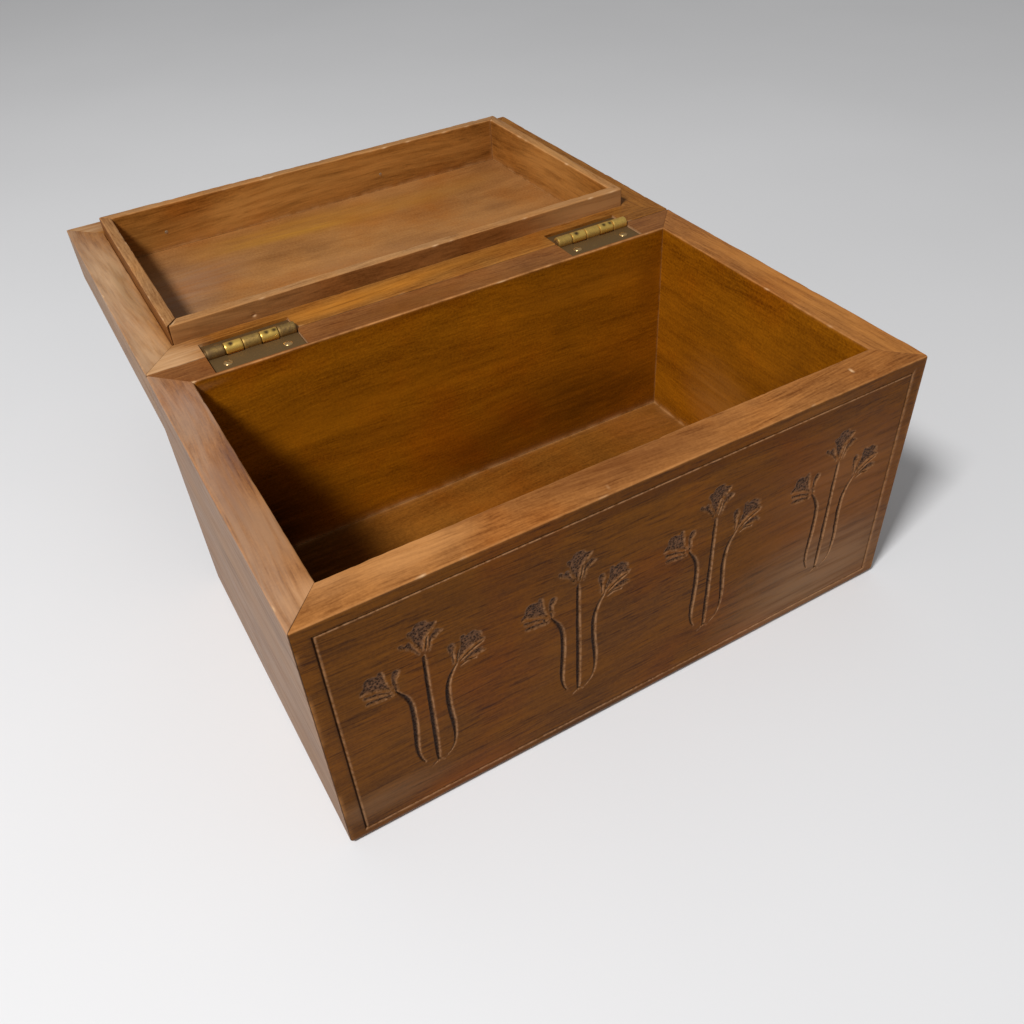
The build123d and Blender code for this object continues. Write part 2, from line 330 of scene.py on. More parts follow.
def wood(name, grain, seed, outer, top=None, inner=None, tints=(), roughness=0.5, carved=False):
    """Stained hardwood. grain is the axis that the fibres run along, X or Y; outer, top and inner
    are the kinds of a board's faces; tints are local changes of colour, among them painted shadow, painted sheen
    and painted reflection, as the tables below say."""
    settings = bpy.context.scene.keepsake_wood
    material, graph, place = new_material(name)
    along = graph.add("ShaderNodeMapping", {
        "Vector": place, "Rotation": (0.0, 0.0, -math.pi / 2 if grain == "Y" else 0.0),
        "Location": (0.137 * seed, 0.291 * seed, 0.173 * seed),
    }).outputs[0]
    # Slow bends of the grain, across the fibres only.
    sway = graph.noise(graph.vector("MULTIPLY", along, (6, 11, 11)), 1.0, output="Color")
    sway = graph.vector("SUBTRACT", sway, (0.5, 0.5, 0.5))
    fibre_place = graph.vector("ADD", along, graph.vector("MULTIPLY", sway, (0.0, 0.02, 0.02)))

    def stretched(run, across, detail, roughness=0.55):
        stretch = graph.vector("MULTIPLY", fibre_place, (run, across, across))
        return graph.noise(stretch, 1.0, detail, roughness)

    streaks, fibres = stretched(30, 520, 3), stretched(130, 1700, 3, 0.62)
    grains = Figure(
        stretched(6, 105, 2), streaks, fibres, graph.remap(stretched(80, 1400, 1), 0.56, 0.74, 0.7, -1.4),
        stretched(16, 42, 3, 0.6), graph.noise(place, 1200, 2, 0.65),
    )

    def grained(face):
        figure = KINDS[face][3]
        tone = 0.5 - sum(figure) * GRAIN_GAIN / 2
        for part, weight in zip(grains, figure):
            if weight:
                tone = graph.math("MULTIPLY_ADD", part, weight * GRAIN_GAIN, tone)
        return graph.blend(graph.math("ADD", tone, 0.0, clamp=True),
                           getattr(settings, face + "_dark"), getattr(settings, face + "_light"))

    shade = grained(outer)
    for face, mask in ((top, "top"), (inner, "inside")):
        if face:
            shade = graph.blend(graph.attribute(mask), shade, grained(face))
    # The stain's hue drifts between warm and dull.
    drift = graph.noise(place, 30, 3, 0.6)
    for end, hue in ((0.72, (1.0, 0.84, 0.60)), (0.28, (0.84, 0.86, 0.95))):
        shade = graph.blend(graph.remap(drift, 0.5, end), shade, hue, "MULTIPLY")
    near = graph.vector("ADD", place, graph.vector("SCALE", sway, Scale=0.02))
    for centre, size, stain, strength in tints:
        offset = graph.vector("DIVIDE", graph.vector("SUBTRACT", near, mm(*centre)), mm(*size))
        amount = graph.remap(graph.vector("LENGTH", offset), 1.1, 0.2, 0.0, strength, "SMOOTHSTEP")
        amount = graph.times(amount, graph.remap(streaks, 0.32, 0.58, 0.45, 1.0))
        shade = graph.blend(amount, shade, srgb(*stain))
    rubbing = graph.remap(graph.noise(place, 260, 3, 0.6), 0.34, 0.56, 0.35, 1.0)
    shade = graph.blend(graph.times(graph.attribute("wear"), rubbing), shade, settings.worn)
    dried = graph.remap(graph.noise(place, 190, 3, 0.6), 0.36, 0.6, 0.25, 0.9)
    shade = graph.blend(graph.times(graph.attribute("glue"), dried), shade, settings.glue)
    shade = graph.blend(graph.attribute("chip"), shade, settings.raw)
    shade = graph.blend(graph.times(graph.attribute("joint"), 0.8), shade, settings.joint)
    height = graph.math("ADD", graph.times(fibres, 0.5), graph.times(streaks, 0.3))
    if carved:
        # The hollows are stippled with a pointed punch; their edges that face the light get a painted highlight.
        stipple = graph.add("ShaderNodeTexVoronoi", {
            "Vector": place, "Scale": 1500.0, "Randomness": 1.0}).outputs["Distance"]
        stipple = graph.math("ADD", stipple, graph.times(graph.noise(place, 2400), 0.35))
        hollow = graph.blend(graph.remap(stipple, 0.32, 0.98), settings.hollow_dark, settings.hollow_light)
        shade = graph.blend(graph.attribute("carved"), shade, hollow)
        # Painted shade on the sides of the hollows turned away from the light.
        shade = graph.blend(graph.times(graph.attribute("lee"), 0.85), shade, settings.lee)
        dotted = graph.remap(graph.noise(place, 900), 0.34, 0.6, 0.22, 0.85)
        # Painted highlight along the edges that face the light.
        shade = graph.blend(graph.times(graph.attribute("brink"), dotted), shade, settings.brink)
        height = graph.math("ADD", height, graph.times(stipple, graph.attribute("carved"), 2.6))
    gloss = graph.remap(graph.math("ADD", fibres, grains.blotch), 0.7, 1.3,
                        roughness - 0.08, roughness + 0.12)
    close_material(graph, {"Base Color": shade, "Roughness": gloss, "Specular IOR Level": WOOD_SPECULAR},
                   height, 0.06 * MM)
    return material


def metal(name, base, tarnish, roughness, worn=False):
    """Aged metal; a worn one is rubbed bright and pitted as its attributes polish and pit say."""
    material, graph, place = new_material(name)
    cloud = graph.noise(place, 420, 4, 0.65)
    spots = graph.remap(graph.noise(place, 1500, 3, 0.6), 0.5, 0.66)
    scratches = graph.noise(graph.vector("MULTIPLY", place, (900, 6000, 900)), 1.0)
    dirt = graph.math("ADD", graph.times(cloud, 0.4), graph.times(spots, 0.1))
    if worn:
        dirt = graph.math("ADD", dirt, 0.56)
        dirt = graph.math("MULTIPLY_ADD", graph.attribute("polish"), -0.8, dirt)
        dirt = graph.math("MULTIPLY_ADD", graph.attribute("pit"), 0.7, dirt, clamp=True)
    shade = graph.blend(graph.remap(dirt, 0.2, 0.72), base, tarnish)
    if worn:
        shade = graph.blend(graph.times(graph.attribute("pit"), 0.8), shade, (0.03, 0.015, 0.006))
    gloss = graph.math("MULTIPLY_ADD", scratches, 0.1,
                       graph.remap(dirt, 0.2, 0.9, roughness - 0.1, roughness + 0.12))
    height = graph.math("ADD", graph.times(cloud, 0.6), graph.times(scratches, 0.4))
    close_material(graph, {"Base Color": shade, "Roughness": gloss, "Metallic": 0.85}, height, 0.04 * MM)
    return material


# ---------------------------------------------------------------- meshes

def linked(name, data):
    """A new object in the scene."""
    thing = bpy.data.objects.new(name, data)
    bpy.context.scene.collection.objects.link(thing)
    return thing


def store(mesh, name, values):
    """Stores a number at every point of a mesh."""
    attribute = mesh.attributes.new(name, "FLOAT", "POINT")
    attribute.data.foreach_set("value", np.asarray(values, np.float32).ravel())


def coordinates(mesh):
    """The points of a mesh, as rows."""
    points = np.zeros(len(mesh.vertices) * 3, np.float32)
    mesh.vertices.foreach_get("co", points)
    return points.reshape(-1, 3)


def smoothed(name, mesh):
    """An object of a mesh, shaded smooth where its faces meet at less than SMOOTH_ANGLE."""
    mesh.polygons.foreach_set("use_smooth", np.ones(len(mesh.polygons), bool))
    mesh.set_sharp_from_angle(angle=SMOOTH_ANGLE)
    return linked(name, mesh)


def finished(name, points, faces, attributes=None):
    """A closed mesh object from points and faces, its doubles merged and its faces outwards."""
    mesh = bpy.data.meshes.new(name)
    mesh.from_pydata(np.asarray(points).tolist(), [], faces)
    for key, values in (attributes or {}).items():
        store(mesh, key, values)
    work = bmesh.new()
    work.from_mesh(mesh)
    bmesh.ops.remove_doubles(work, verts=work.verts, dist=1e-7)
    bmesh.ops.recalc_face_normals(work, faces=work.faces)
    work.to_mesh(mesh)
    work.free()
    return smoothed(name, mesh)


def swept(name, grid, attributes):
    """A closed mesh from a grid of points whose rows are closed sections, the end ones filled in."""
    shape = grid.shape[:2]
    index = np.arange(shape[0] * shape[1]).reshape(shape)
    ahead = np.roll(index, -1, axis=1)
    quads = np.stack([index[:-1], index[1:], ahead[1:], ahead[:-1]], -1).reshape(-1, 4).tolist()
    return finished(name, grid.reshape(-1, 3), quads + [index[0].tolist(), index[-1].tolist()],
                    {key: values * np.ones(shape) for key, values in attributes.items()})


def plain(source, name):
    """The evaluated result of an object's modifiers, as a plain mesh; the source goes."""
    depsgraph = bpy.context.evaluated_depsgraph_get()
    depsgraph.update()
    mesh = bpy.data.meshes.new_from_object(source.evaluated_get(depsgraph))
    bpy.data.objects.remove(source)
    if not len(mesh.vertices):
        raise RuntimeError(f"{name} came out of its modifiers empty")
    mesh.name = name
    return smoothed(name, mesh)


def joined(name, parts):
    """One object of several meshes, each left as a closed shell of its own."""
    work = bmesh.new()
    for part in parts:
        work.from_mesh(part.data)
        bpy.data.objects.remove(part)
    mesh = bpy.data.meshes.new(name)
    work.to_mesh(mesh)
    work.free()
    return smoothed(name, mesh)


def dress(piece, body, slot, material, *nodes):
    """Gives a piece its material and its body, and hides the CAD nodes that it stands for; its slot is not used."""
    piece.data.materials.clear()
    piece.data.materials.append(material)
    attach(piece, body)
    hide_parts(*nodes)


def ripple(points, wavelength, seed):
    """Smooth noise from about -1 to 1 at points, a sum of waves in fixed directions."""
    chance = np.random.default_rng(seed)
    total = np.zeros(points.shape[:-1])
    for _ in range(7):
        direction = chance.normal(size=3)
        direction *= chance.uniform(0.6, 1.6) / np.linalg.norm(direction)
        total += np.sin(points @ direction * (2 * math.pi / wavelength) + chance.uniform(0, 2 * math.pi))
    return total / 2.6


def spaced(start, end, step, near=mm(0.3, 0.8)):
    """Places from start to end, a step apart, closer near both ends."""
    sign = 1 if end > start else -1
    margin = near[-1]
    count = max(1, round((abs(end - start) - 2 * margin) / step))
    middle = np.linspace(start + sign * margin, end - sign * margin, count + 1)
    return [start, *(start + sign * gap for gap in near[:-1]), *middle,
            *(end - sign * gap for gap in reversed(near[:-1])), end]


# ---------------------------------------------------------------- boards

Section = namedtuple("Section", "depth height inward_depth inward_height arris face")
OUTER, TOP, INNER, BOTTOM = range(4)  # the faces of a section
END_GAPS = mm(0.15, 0.3, 0.55, 0.8, 1.4)  # where a board's mesh is finer, by its mitred ends
FINER = np.linspace(-1.5, 1.5, 7)  # and round the listed nicks, in their half sizes
EPSILON = 0.005 * MM


def board_section(thickness, low, high, foot, outer_heights, depths, inner_heights):
    """A board's section as a closed row of points: depth from the outer face, and height."""
    ease = RIM_EASING
    arc = [math.radians(degrees) for degrees in (22.5, 45, 67.5)]
    rows = [(0, z, 1, 0, 0, OUTER) for z in outer_heights]
    rows += [(ease - ease * math.cos(a), high - ease + ease * math.sin(a), math.cos(a), -math.sin(a), 1, TOP)
             for a in arc]
    rows += [(d, high, 0, -1, 0, TOP) for d in depths]
    rows += [(thickness - ease + ease * math.sin(a), high - ease + ease * math.cos(a),
              -math.sin(a), -math.cos(a), 1, TOP) for a in arc]
    rows += [(thickness, z, -1, 0, 0, INNER) for z in inner_heights]
    rows += [(d, low, 0, 1, 0, BOTTOM) for d in np.linspace(thickness, foot, 5)[1:-1]]
    if foot > 0:
        rows += [(foot - foot * math.sin(a), low + foot - foot * math.cos(a),
                  math.sin(a), math.cos(a), 0.4, OUTER) for a in np.radians(np.linspace(0, 90, 7)[:-1])]
    else:
        rows += [(0, low, 0.7, 0.7, 0, BOTTOM)]
    table = np.array(rows, float)
    edge = np.minimum(*(np.hypot(table[:, 0] - depth, table[:, 1] - high) for depth in (0, thickness)))
    table[:, 4] = np.maximum(table[:, 4], np.exp(-((edge / (0.6 * MM)) ** 2)))
    return Section(*table.T)


def scattered_nicks(run, high, low, thickness, settings, scars, seed):
    """Small nicks scattered by a fixed seed along the arrises of a board."""
    chance = np.random.default_rng(seed + 50)
    found = []
    for depth, height in ((0, high), (thickness, high), (0, low)):
        for _ in range(settings.nick_count * scars):
            place = (chance.uniform(-0.48, 0.48) * run, depth, height)
            size = np.array([chance.uniform(0.4, 1.3), 0.6, 0.6]) * MM
            deep = settings.nick_depth * chance.uniform(0.3, 1)
            found.append((place, size, deep, chance.uniform(0, 0.9) ** 2))
    return found


def side_board(name, frame_box, side, foot, seed, outer_heights=None, stations=None, mortises=None,
               floor_top=None, nicks=(), open_ends=(0.0, 0.0), outer_wear=0.6, inner_wear=0.6, scars=1):
    """One mitred side of a frame, worn at its arrises, with attributes that its wood reads.

    mortises are cut from the outer face; nicks are (place, half sizes, depth, raw share); open_ends
    draw a mitre back at its top; outer_wear and inner_wear are how much of each arris is rubbed
    pale, and scars multiplies the small nicks."""
    settings = bpy.context.scene.keepsake_wood
    if side in ("front", "back"):
        run, thickness, neighbour = frame_box.x1 - frame_box.x0, frame_box.long, frame_box.end
    else:
        run, thickness, neighbour = frame_box.y1 - frame_box.y0, frame_box.end, frame_box.long
    low, high = frame_box.z0, frame_box.z1
    if outer_heights is None:
        outer_heights = spaced(low + foot, high - RIM_EASING, 2 * MM)
    depths = spaced(RIM_EASING, thickness - RIM_EASING, 1.4 * MM)
    spans = mortises.spans if mortises else ()
    if mortises:
        edge = mortises.bends[-1]
        depths = sorted([d for d in depths if min(abs(d - bend) for bend in mortises.bends) > 0.2 * MM]
                        + [*mortises.bends, edge - 2 * EPSILON])
    inner_heights = spaced(high - RIM_EASING, low, 2 * MM)
    if floor_top is not None:
        inner_heights = sorted(inner_heights + [floor_top + gap * MM for gap in (0, 0.5, 1.2)], reverse=True)
    if stations is None:
        stations = spaced(-run / 2, run / 2, 1.6 * MM, END_GAPS)
        for start, end in spans:
            stations = [s for s in stations if not (abs(s - start) < 0.4 * MM or abs(s - end) < 0.4 * MM)]
            stations += [start - 0.3 * MM, start - 2 * EPSILON, start, end, end + 2 * EPSILON, end + 0.3 * MM]
    for place, size, _, _ in nicks:
        stations = [*stations, *(place[0] + FINER * size[0])]
        rows = place[2] + FINER * size[2]
        rows = rows[(rows > low + foot) & (rows < high - RIM_EASING)].tolist()
        if place[1] < thickness / 2:
            outer_heights = sorted([*outer_heights, *rows])
        else:
            inner_heights = sorted([*inner_heights, *rows], reverse=True)
    section = board_section(thickness, low, high, foot, outer_heights, depths, inner_heights)
    along = np.array(sorted(stations))[:, None]
    depth = section.depth[None, :]
    height = np.broadcast_to(section.height[None, :], (len(along), len(section.height))).copy()
    # Upright corners, rounded on the outer face.
    radius = settings.corner_radius
    gap = radius * (1 - math.sqrt(0.5)) + (run / 2 - np.abs(along))
    round_in = np.where(gap < radius, radius - np.sqrt(np.clip(radius**2 - (radius - gap) ** 2, 0, None)), 0)
    depth = depth + round_in * np.clip(1 - depth / (3 * radius), 0, 1)
    core = run / 2 - neighbour - 3 * MM
    offset = np.abs(along) - core

    def mitred(depth):
        """Places along the side that follow its mitres."""
        reach = run / 2 - np.clip(depth / thickness, 0, 1) * neighbour
        beyond = core + offset * (reach - core) / (run / 2 - core)
        return np.sign(along) * np.where(np.abs(along) <= core, np.abs(along), beyond)

    # A first place for every point, only to read the noise and the nicks from.
    x = mitred(depth)
    points = np.stack([x, np.broadcast_to(depth, x.shape), height], -1)
    arris = section.arris[None, :]
    worn = np.clip(0.45 + 0.6 * ripple(points, 23 * MM, seed) + 0.3 * ripple(points, 6 * MM, seed + 1), 0, 1)
    wave = np.clip(ripple(points, 60 * MM, seed + 2), -1, 1)
    amount = settings.face_wave * (0.5 + 0.5 * wave) * (1 - arris)
    amount = amount + settings.arris_wear * worn * arris**2
    chip = np.zeros_like(amount)
    scattered = scattered_nicks(run, high, low, thickness, settings, scars, seed)
    for place, size, deep, raw in [*scattered, *nicks]:
        near = np.exp(-(((points - np.array(place)) / size) ** 2).sum(-1))
        amount = amount + deep * near
        chip = np.maximum(chip, raw * np.clip(near * 1.6 - 0.3, 0, 1))
    mitre_gap = run / 2 - np.abs(along)
    easing = np.clip(1 - mitre_gap / (0.3 * MM), 0, 1)
    amount = amount + 0.1 * MM * easing
    depth = depth + section.inward_depth[None, :] * amount
    height = height + section.inward_height[None, :] * amount
    for start, end in spans:
        inside = (along > start - EPSILON) & (along < end + EPSILON)
        lowered = np.minimum(height, mortises.floor(np.clip(section.depth[None, :], 0, None)))
        cut_away = inside & (section.depth[None, :] < edge - EPSILON) & (lowered < height)
        height = np.where(cut_away, lowered, height)
        ends = np.minimum(np.abs(along - start), np.abs(along - end)) < EPSILON
        chip = np.where(cut_away & ends, 0.7, chip)
    x = mitred(depth)
    lift = np.clip((height - low) / (high - low), 0, 1) ** 2
    for sign, opening in zip((-1, 1), open_ends):
        x = x - sign * opening * np.clip(1 - (run / 2 - sign * along) / (3 * MM), 0, 1) * lift
    y = np.broadcast_to(depth, x.shape)
    middle_x, middle_y = (frame_box.x0 + frame_box.x1) / 2, (frame_box.y0 + frame_box.y1) / 2
    places = {
        "front": (middle_x + x, frame_box.y0 + y), "back": (middle_x - x, frame_box.y1 - y),
        "left": (frame_box.x0 + y, middle_y - x), "right": (frame_box.x1 - y, middle_y + x),
    }[side]
    inner = section.face == INNER
    corner = np.exp(-mitre_gap / (0.8 * MM)) * inner
    if floor_top is not None:
        corner = np.maximum(corner, np.exp(-np.abs(height - floor_top) / (0.8 * MM)) * inner)
    upright = np.clip(1 - gap / (2.2 * radius), 0, 1) * (section.depth < 3 * radius) * worn
    return swept(name, np.stack([*places, height], -1), {
        "wear": np.maximum(arris**1.4 * (0.55 + 0.45 * worn), upright)
        * np.where(section.depth < thickness / 2, outer_wear, inner_wear),
        "joint": easing * np.where(places[1] > 0, 0.35, 1),
        "chip": chip,
        "top": section.face == TOP,
        "inside": inner,
        "glue": corner,
        "outer": (section.face == OUTER) * (section.arris < 0.3),
    })


Mortises = namedtuple("Mortises", "spans bends floor")


def leaf_mortises(node, mirrored):
    """The mortises of both hinges along a side, for leaves like a node: the spans that they take along
    it, the depths where their floor bends, and the floor's height by depth."""
    leaf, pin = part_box(node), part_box("left_hinge_pin")
    underside, radius, pin_z = leaf[0].z, (leaf[1].z - leaf[0].z) / 2, (pin[0].z + pin[1].z) / 2
    hollow = radius + LEAF_CLEARANCE
    seam_half = (LID.y0 - BOX.y1) / 2
    reach = max(SEAM - leaf[0].y, leaf[1].y - SEAM) + LEAF_CLEARANCE - seam_half
    bend = math.sqrt(hollow**2 - (pin_z - underside) ** 2) - seam_half

    def floor(depth):
        across = depth + seam_half
        return np.minimum(underside, pin_z - np.sqrt(np.clip(hollow**2 - across**2, 0, None)))

    spans = []
    for hinge in HINGES:
        low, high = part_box(hinge + "_box_leaf")
        start, end = low.x - LEAF_CLEARANCE, high.x + LEAF_CLEARANCE
        spans.append((-end, -start) if mirrored else (start, end))
    return Mortises(spans, (bend / 2, bend, reach), floor)


def panel(node, seed, margin=3.8 * MM):
    """A flat board, a margin smaller than its node's tongues: a little cupped, with eased edges and
    traces of glue round it."""
    settings = bpy.context.scene.keepsake_wood
    low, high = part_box(node)
    low = Vector((low.x + margin, low.y + margin, low.z))
    high = Vector((high.x - margin, high.y - margin, high.z))
    ease, near = 0.3 * MM, mm(0.5, 1.2)
    across = spaced(low.y + ease, high.y - ease, 2.5 * MM, near)
    upper, under = 1, 2
    loop = [(y, high.z, upper) for y in across] + [(high.y, high.z - ease, 0), (high.y, low.z + ease, 0)]
    loop += [(y, low.z, under) for y in reversed(across)]
    loop += [(low.y, low.z + ease, 0), (low.y, high.z - ease, 0)]
    y, z, face = (column[None, :] for column in np.array(loop).T)
    x = np.array(spaced(low.x, high.x, 2.5 * MM, near))[:, None]
    points = np.stack(np.broadcast_arrays(x, y, z), -1)
    hollow = settings.face_wave * (1 + np.clip(ripple(points, 90 * MM, seed), -1, 1))
    points[..., 2] += np.where(face == upper, -hollow, np.where(face == under, hollow, 0))
    edge = reduce(np.minimum, (x - low.x, high.x - x, y - low.y, high.y - y))
    return swept(node + "_worn", points,
                 {"inside": face == upper, "glue": np.exp(-edge / (0.6 * MM)) * (face == upper)})


# ---------------------------------------------------------------- the carved sprigs

# A sprig, in millimetres from the foot of its middle stem: (right, up, half width).
STEMS = (
    ((0.1, 44.2, 0.26), (0, 42, 0.62), (-0.05, 30, 0.7), (0, 18, 0.81), (-0.1, 4, 0.75), (-0.15, 0, 0.44),
     (-0.15, -0.8, 0.18)),
    ((-8.8, 35.6, 0.26), (-7.7, 33.7, 0.44), (-6.5, 31.6, 0.63), (-5.5, 28.6, 0.75), (-5.2, 24.5, 0.81),
     (-5.25, 18.5, 0.84), (-5.65, 12, 0.79), (-5.75, 7.2, 0.62), (-5.2, 3.8, 0.44), (-4.2, 1.4, 0.18)),
    ((8.6, 35.4, 0.26), (7.5, 33.7, 0.44), (6.3, 31.4, 0.62), (5.4, 28, 0.75), (5.1, 23.6, 0.81), (5.3, 18, 0.81),
     (5.8, 12, 0.75), (5.8, 7.4, 0.53), (5.3, 3.9, 0.35), (4.1, 1.4, 0.25), (2.2, -0.4, 0.18)),
    ((-2.2, -1.8, 0.16), (-0.1, -0.4, 0.31), (1.4, -1.3, 0.14)),
    ((8.9, 36.2, 0.26), (9.4, 38.4, 0.37), (9.9, 40.4, 0.26)),
    ((10.1, 36.1, 0.26), (12.2, 37.5, 0.37), (14.4, 38.7, 0.4), (16.8, 39.6, 0.22)),
    ((9.8, 34.2, 0.22), (12, 34.9, 0.37), (14.4, 34.6, 0.26)),
    ((0.6, 45.4, 0.22), (1.2, 47.6, 0.3), (1.6, 50.2, 0.26)),
)
# Hollowed petals and buds of the same sprig, as closed outlines.
PETALS = (
    ((0.1, 45.8), (-1.1, 48), (-2, 50), (-2.6, 52), (-3.5, 53.3), (-3.2, 54.4), (-1.9, 54.6), (-1.3, 55.8),
     (0.3, 56.3), (1.8, 56), (2.4, 55), (3.4, 54.7), (4.5, 54.3), (4, 53), (3, 52), (1.9, 51.2), (0.9, 49.6),
     (0.5, 47.4)),
    ((1.6, 44.9), (1.8, 47), (2.1, 49), (2.9, 50.3), (4.3, 51.7), (5.1, 51.3), (6, 50.5), (4.5, 49.5), (3.1, 48.5),
     (2.5, 47), (2, 45.3)),
    ((-0.9, 45.6), (-1.7, 47.4), (-2.3, 49), (-2.8, 50.5), (-3.7, 51.1), (-4.4, 50.2), (-5, 51), (-5.9, 51.3),
     (-6.2, 50.2), (-5, 49.2), (-3.4, 48.1), (-2.3, 46.8), (-1.3, 45.2)),
    ((-9.8, 37), (-10.5, 38.8), (-10.9, 41), (-11.1, 43.4), (-11.5, 44.9), (-12.4, 45.2), (-13, 44.2),
     (-14.2, 44.7), (-15.6, 44.7), (-16.6, 43.7), (-16.9, 42), (-18, 40.7), (-18.1, 39.6), (-16.4, 39.6),
     (-14.4, 38.9), (-12.4, 38.3), (-11, 37.5)),
    ((-9.8, 36), (-11.4, 36.9), (-13.6, 37.9), (-15.6, 38.3), (-17.5, 38.6), (-17.1, 37.3), (-15, 36.9),
     (-12.6, 36.4), (-10.8, 35.8)),
    ((-9.6, 35), (-12, 35.7), (-14.6, 36.2), (-16.8, 36.2), (-17, 35.2), (-14.8, 34.7), (-12, 34.4), (-10.2, 34.3)),
    ((-8.8, 35.8), (-9.3, 38), (-9.4, 40.6), (-9.2, 42.2), (-8.4, 43.5), (-7.5, 43.3), (-6.9, 42.4), (-7.3, 41.2),
     (-8.1, 40.2), (-8.2, 38), (-8.1, 36)),
    ((9.2, 36.6), (9.8, 39), (10.3, 41), (10.5, 43.6), (10.7, 45), (11.6, 45.2), (12.2, 44.4), (13.2, 44.9),
     (14.6, 45), (15.4, 44.3), (16.4, 43.6), (16.6, 42.4), (16.4, 41.3), (17.4, 40.7), (17.1, 39.9), (15, 40),
     (13, 39.1), (11, 37.9), (9.8, 36.8)),
    ((10.8, 35.5), (12.6, 36.8), (14.4, 37.6), (16.4, 37.5), (16.6, 36.7), (17.3, 36), (15.6, 35.5), (13, 35.4),
     (11.6, 35.1)),
    ((7.6, 36), (7.6, 38.4), (7.1, 40.4), (6.7, 42), (6.9, 43.4), (7.8, 44), (8.6, 43.3), (8.8, 42), (8.4, 40.4),
     (8.3, 38), (8.2, 36.2)),
)


def smooth_path(points, step, closed=False):
    """A smooth line through points (rows of numbers), sampled about a step apart."""
    points = np.array(points, float)
    if closed:
        before, start, end, after = (np.roll(points, shift, axis=0) for shift in (1, 0, -1, -2))
    else:
        padded = np.vstack([2 * points[0] - points[1], points, 2 * points[-1] - points[-2]])
        before, start, end, after = padded[:-3], padded[1:-2], padded[2:-1], padded[3:]
    path = []
    for a, b, c, d in zip(before, start, end, after):
        count = max(2, round(float(np.linalg.norm((c - b)[:2])) / step))
        for t in np.arange(count) / count:
            path.append(0.5 * (2 * b + (c - a) * t + (2 * a - 5 * b + 4 * c - d) * t**2
                               + (3 * b - a - 3 * c + d) * t**3))
    if not closed:
        path.append(points[-1])
    return np.array(path)


def sprig_templates():
    """Two flat helpers in the XY plane: the stems as lines with a half width, and the petals as faces."""
    for name, shapes, closed in (("sprig_stems", STEMS, False), ("sprig_petals", PETALS, True)):
        points, edges, faces, widths = [], [], [], []
        for shape in shapes:
            path = smooth_path(shape, 0.35, closed) * MM
            first = len(points)
            points += [(x, y, 0) for x, y in path[:, :2]]
            if closed:
                faces.append(list(range(first, len(points))))
            else:
                edges += [(k, k + 1) for k in range(first, len(points) - 1)]
                widths += path[:, 2].tolist()
        mesh = bpy.data.meshes.new(name)
        mesh.from_pydata(points, edges, faces)
        if widths:
            store(mesh, "half_width", widths)
        yield linked(name, mesh)


def new_tree(name, inputs):
    """A geometry tree with named inputs, its Graph and its group inputs."""
    tree = bpy.data.node_groups.new(name, "GeometryNodeTree")
    for label, kind in {"Geometry": "Geometry", **inputs, "Material": "Material"}.items():
        tree.interface.new_socket(label, in_out="INPUT", socket_type="NodeSocket" + kind)
    tree.interface.new_socket("Geometry", in_out="OUTPUT", socket_type="NodeSocketGeometry")
    graph = Graph(tree)
    return tree, graph, graph.add("NodeGroupInput").outputs


def close_tree(graph, geometry, material):
    """Ends a geometry tree: instances made real, and the material set."""
    real = graph.add("GeometryNodeRealizeInstances", {"Geometry": geometry}).outputs[0]
    dressed = graph.add("GeometryNodeSetMaterial", {"Geometry": real, "Material": material}).outputs[0]
    graph.add("NodeGroupOutput", {0: dressed})


def grow(piece, tree, values):
    """Puts a geometry tree on an object, its inputs set by their sockets' identifiers."""
    modifier = piece.modifiers.new(tree.name, "NODES")
    modifier.node_group = tree
    names = {item.name: item.identifier for item in tree.interface.items_tree if item.in_out == "INPUT"}
    for label, value in values.items():
        modifier[names[label]] = value


def row_tree():
    """Sets a row of a flat sprig upright, each copy leaning and growing a little differently."""
    tree, graph, given = new_tree("Row of sprigs", {
        "Count": "Int", "Pitch": "Float", "First foot": "Vector", "Variation": "Float", "Seed": "Int"})
    feet = graph.add("GeometryNodeMeshLine", {
        "Count": given["Count"], "Start Location": given["First foot"],
        "Offset": graph.combined(X=given["Pitch"])}, mode="OFFSET").outputs[0]
    lean = graph.chance(graph.times(given["Variation"], -1.0), given["Variation"], given["Seed"])
    growth = graph.chance(graph.math("SUBTRACT", 1.0, given["Variation"]), 1.0,
                          graph.math("ADD", given["Seed"], 1.0))
    placed = graph.add("GeometryNodeInstanceOnPoints", {
        "Points": feet, "Instance": given["Geometry"], "Rotation": graph.combined(X=math.pi / 2, Y=lean),
        "Scale": growth}).outputs[0]
    close_tree(graph, placed, given["Material"])
    return tree


# On the front, the side of a hollow that faces the light: to the right and below. It places the painted highlights
# and the painted shade.
LIT_SIDE = (0.84, 0.0, -0.54)


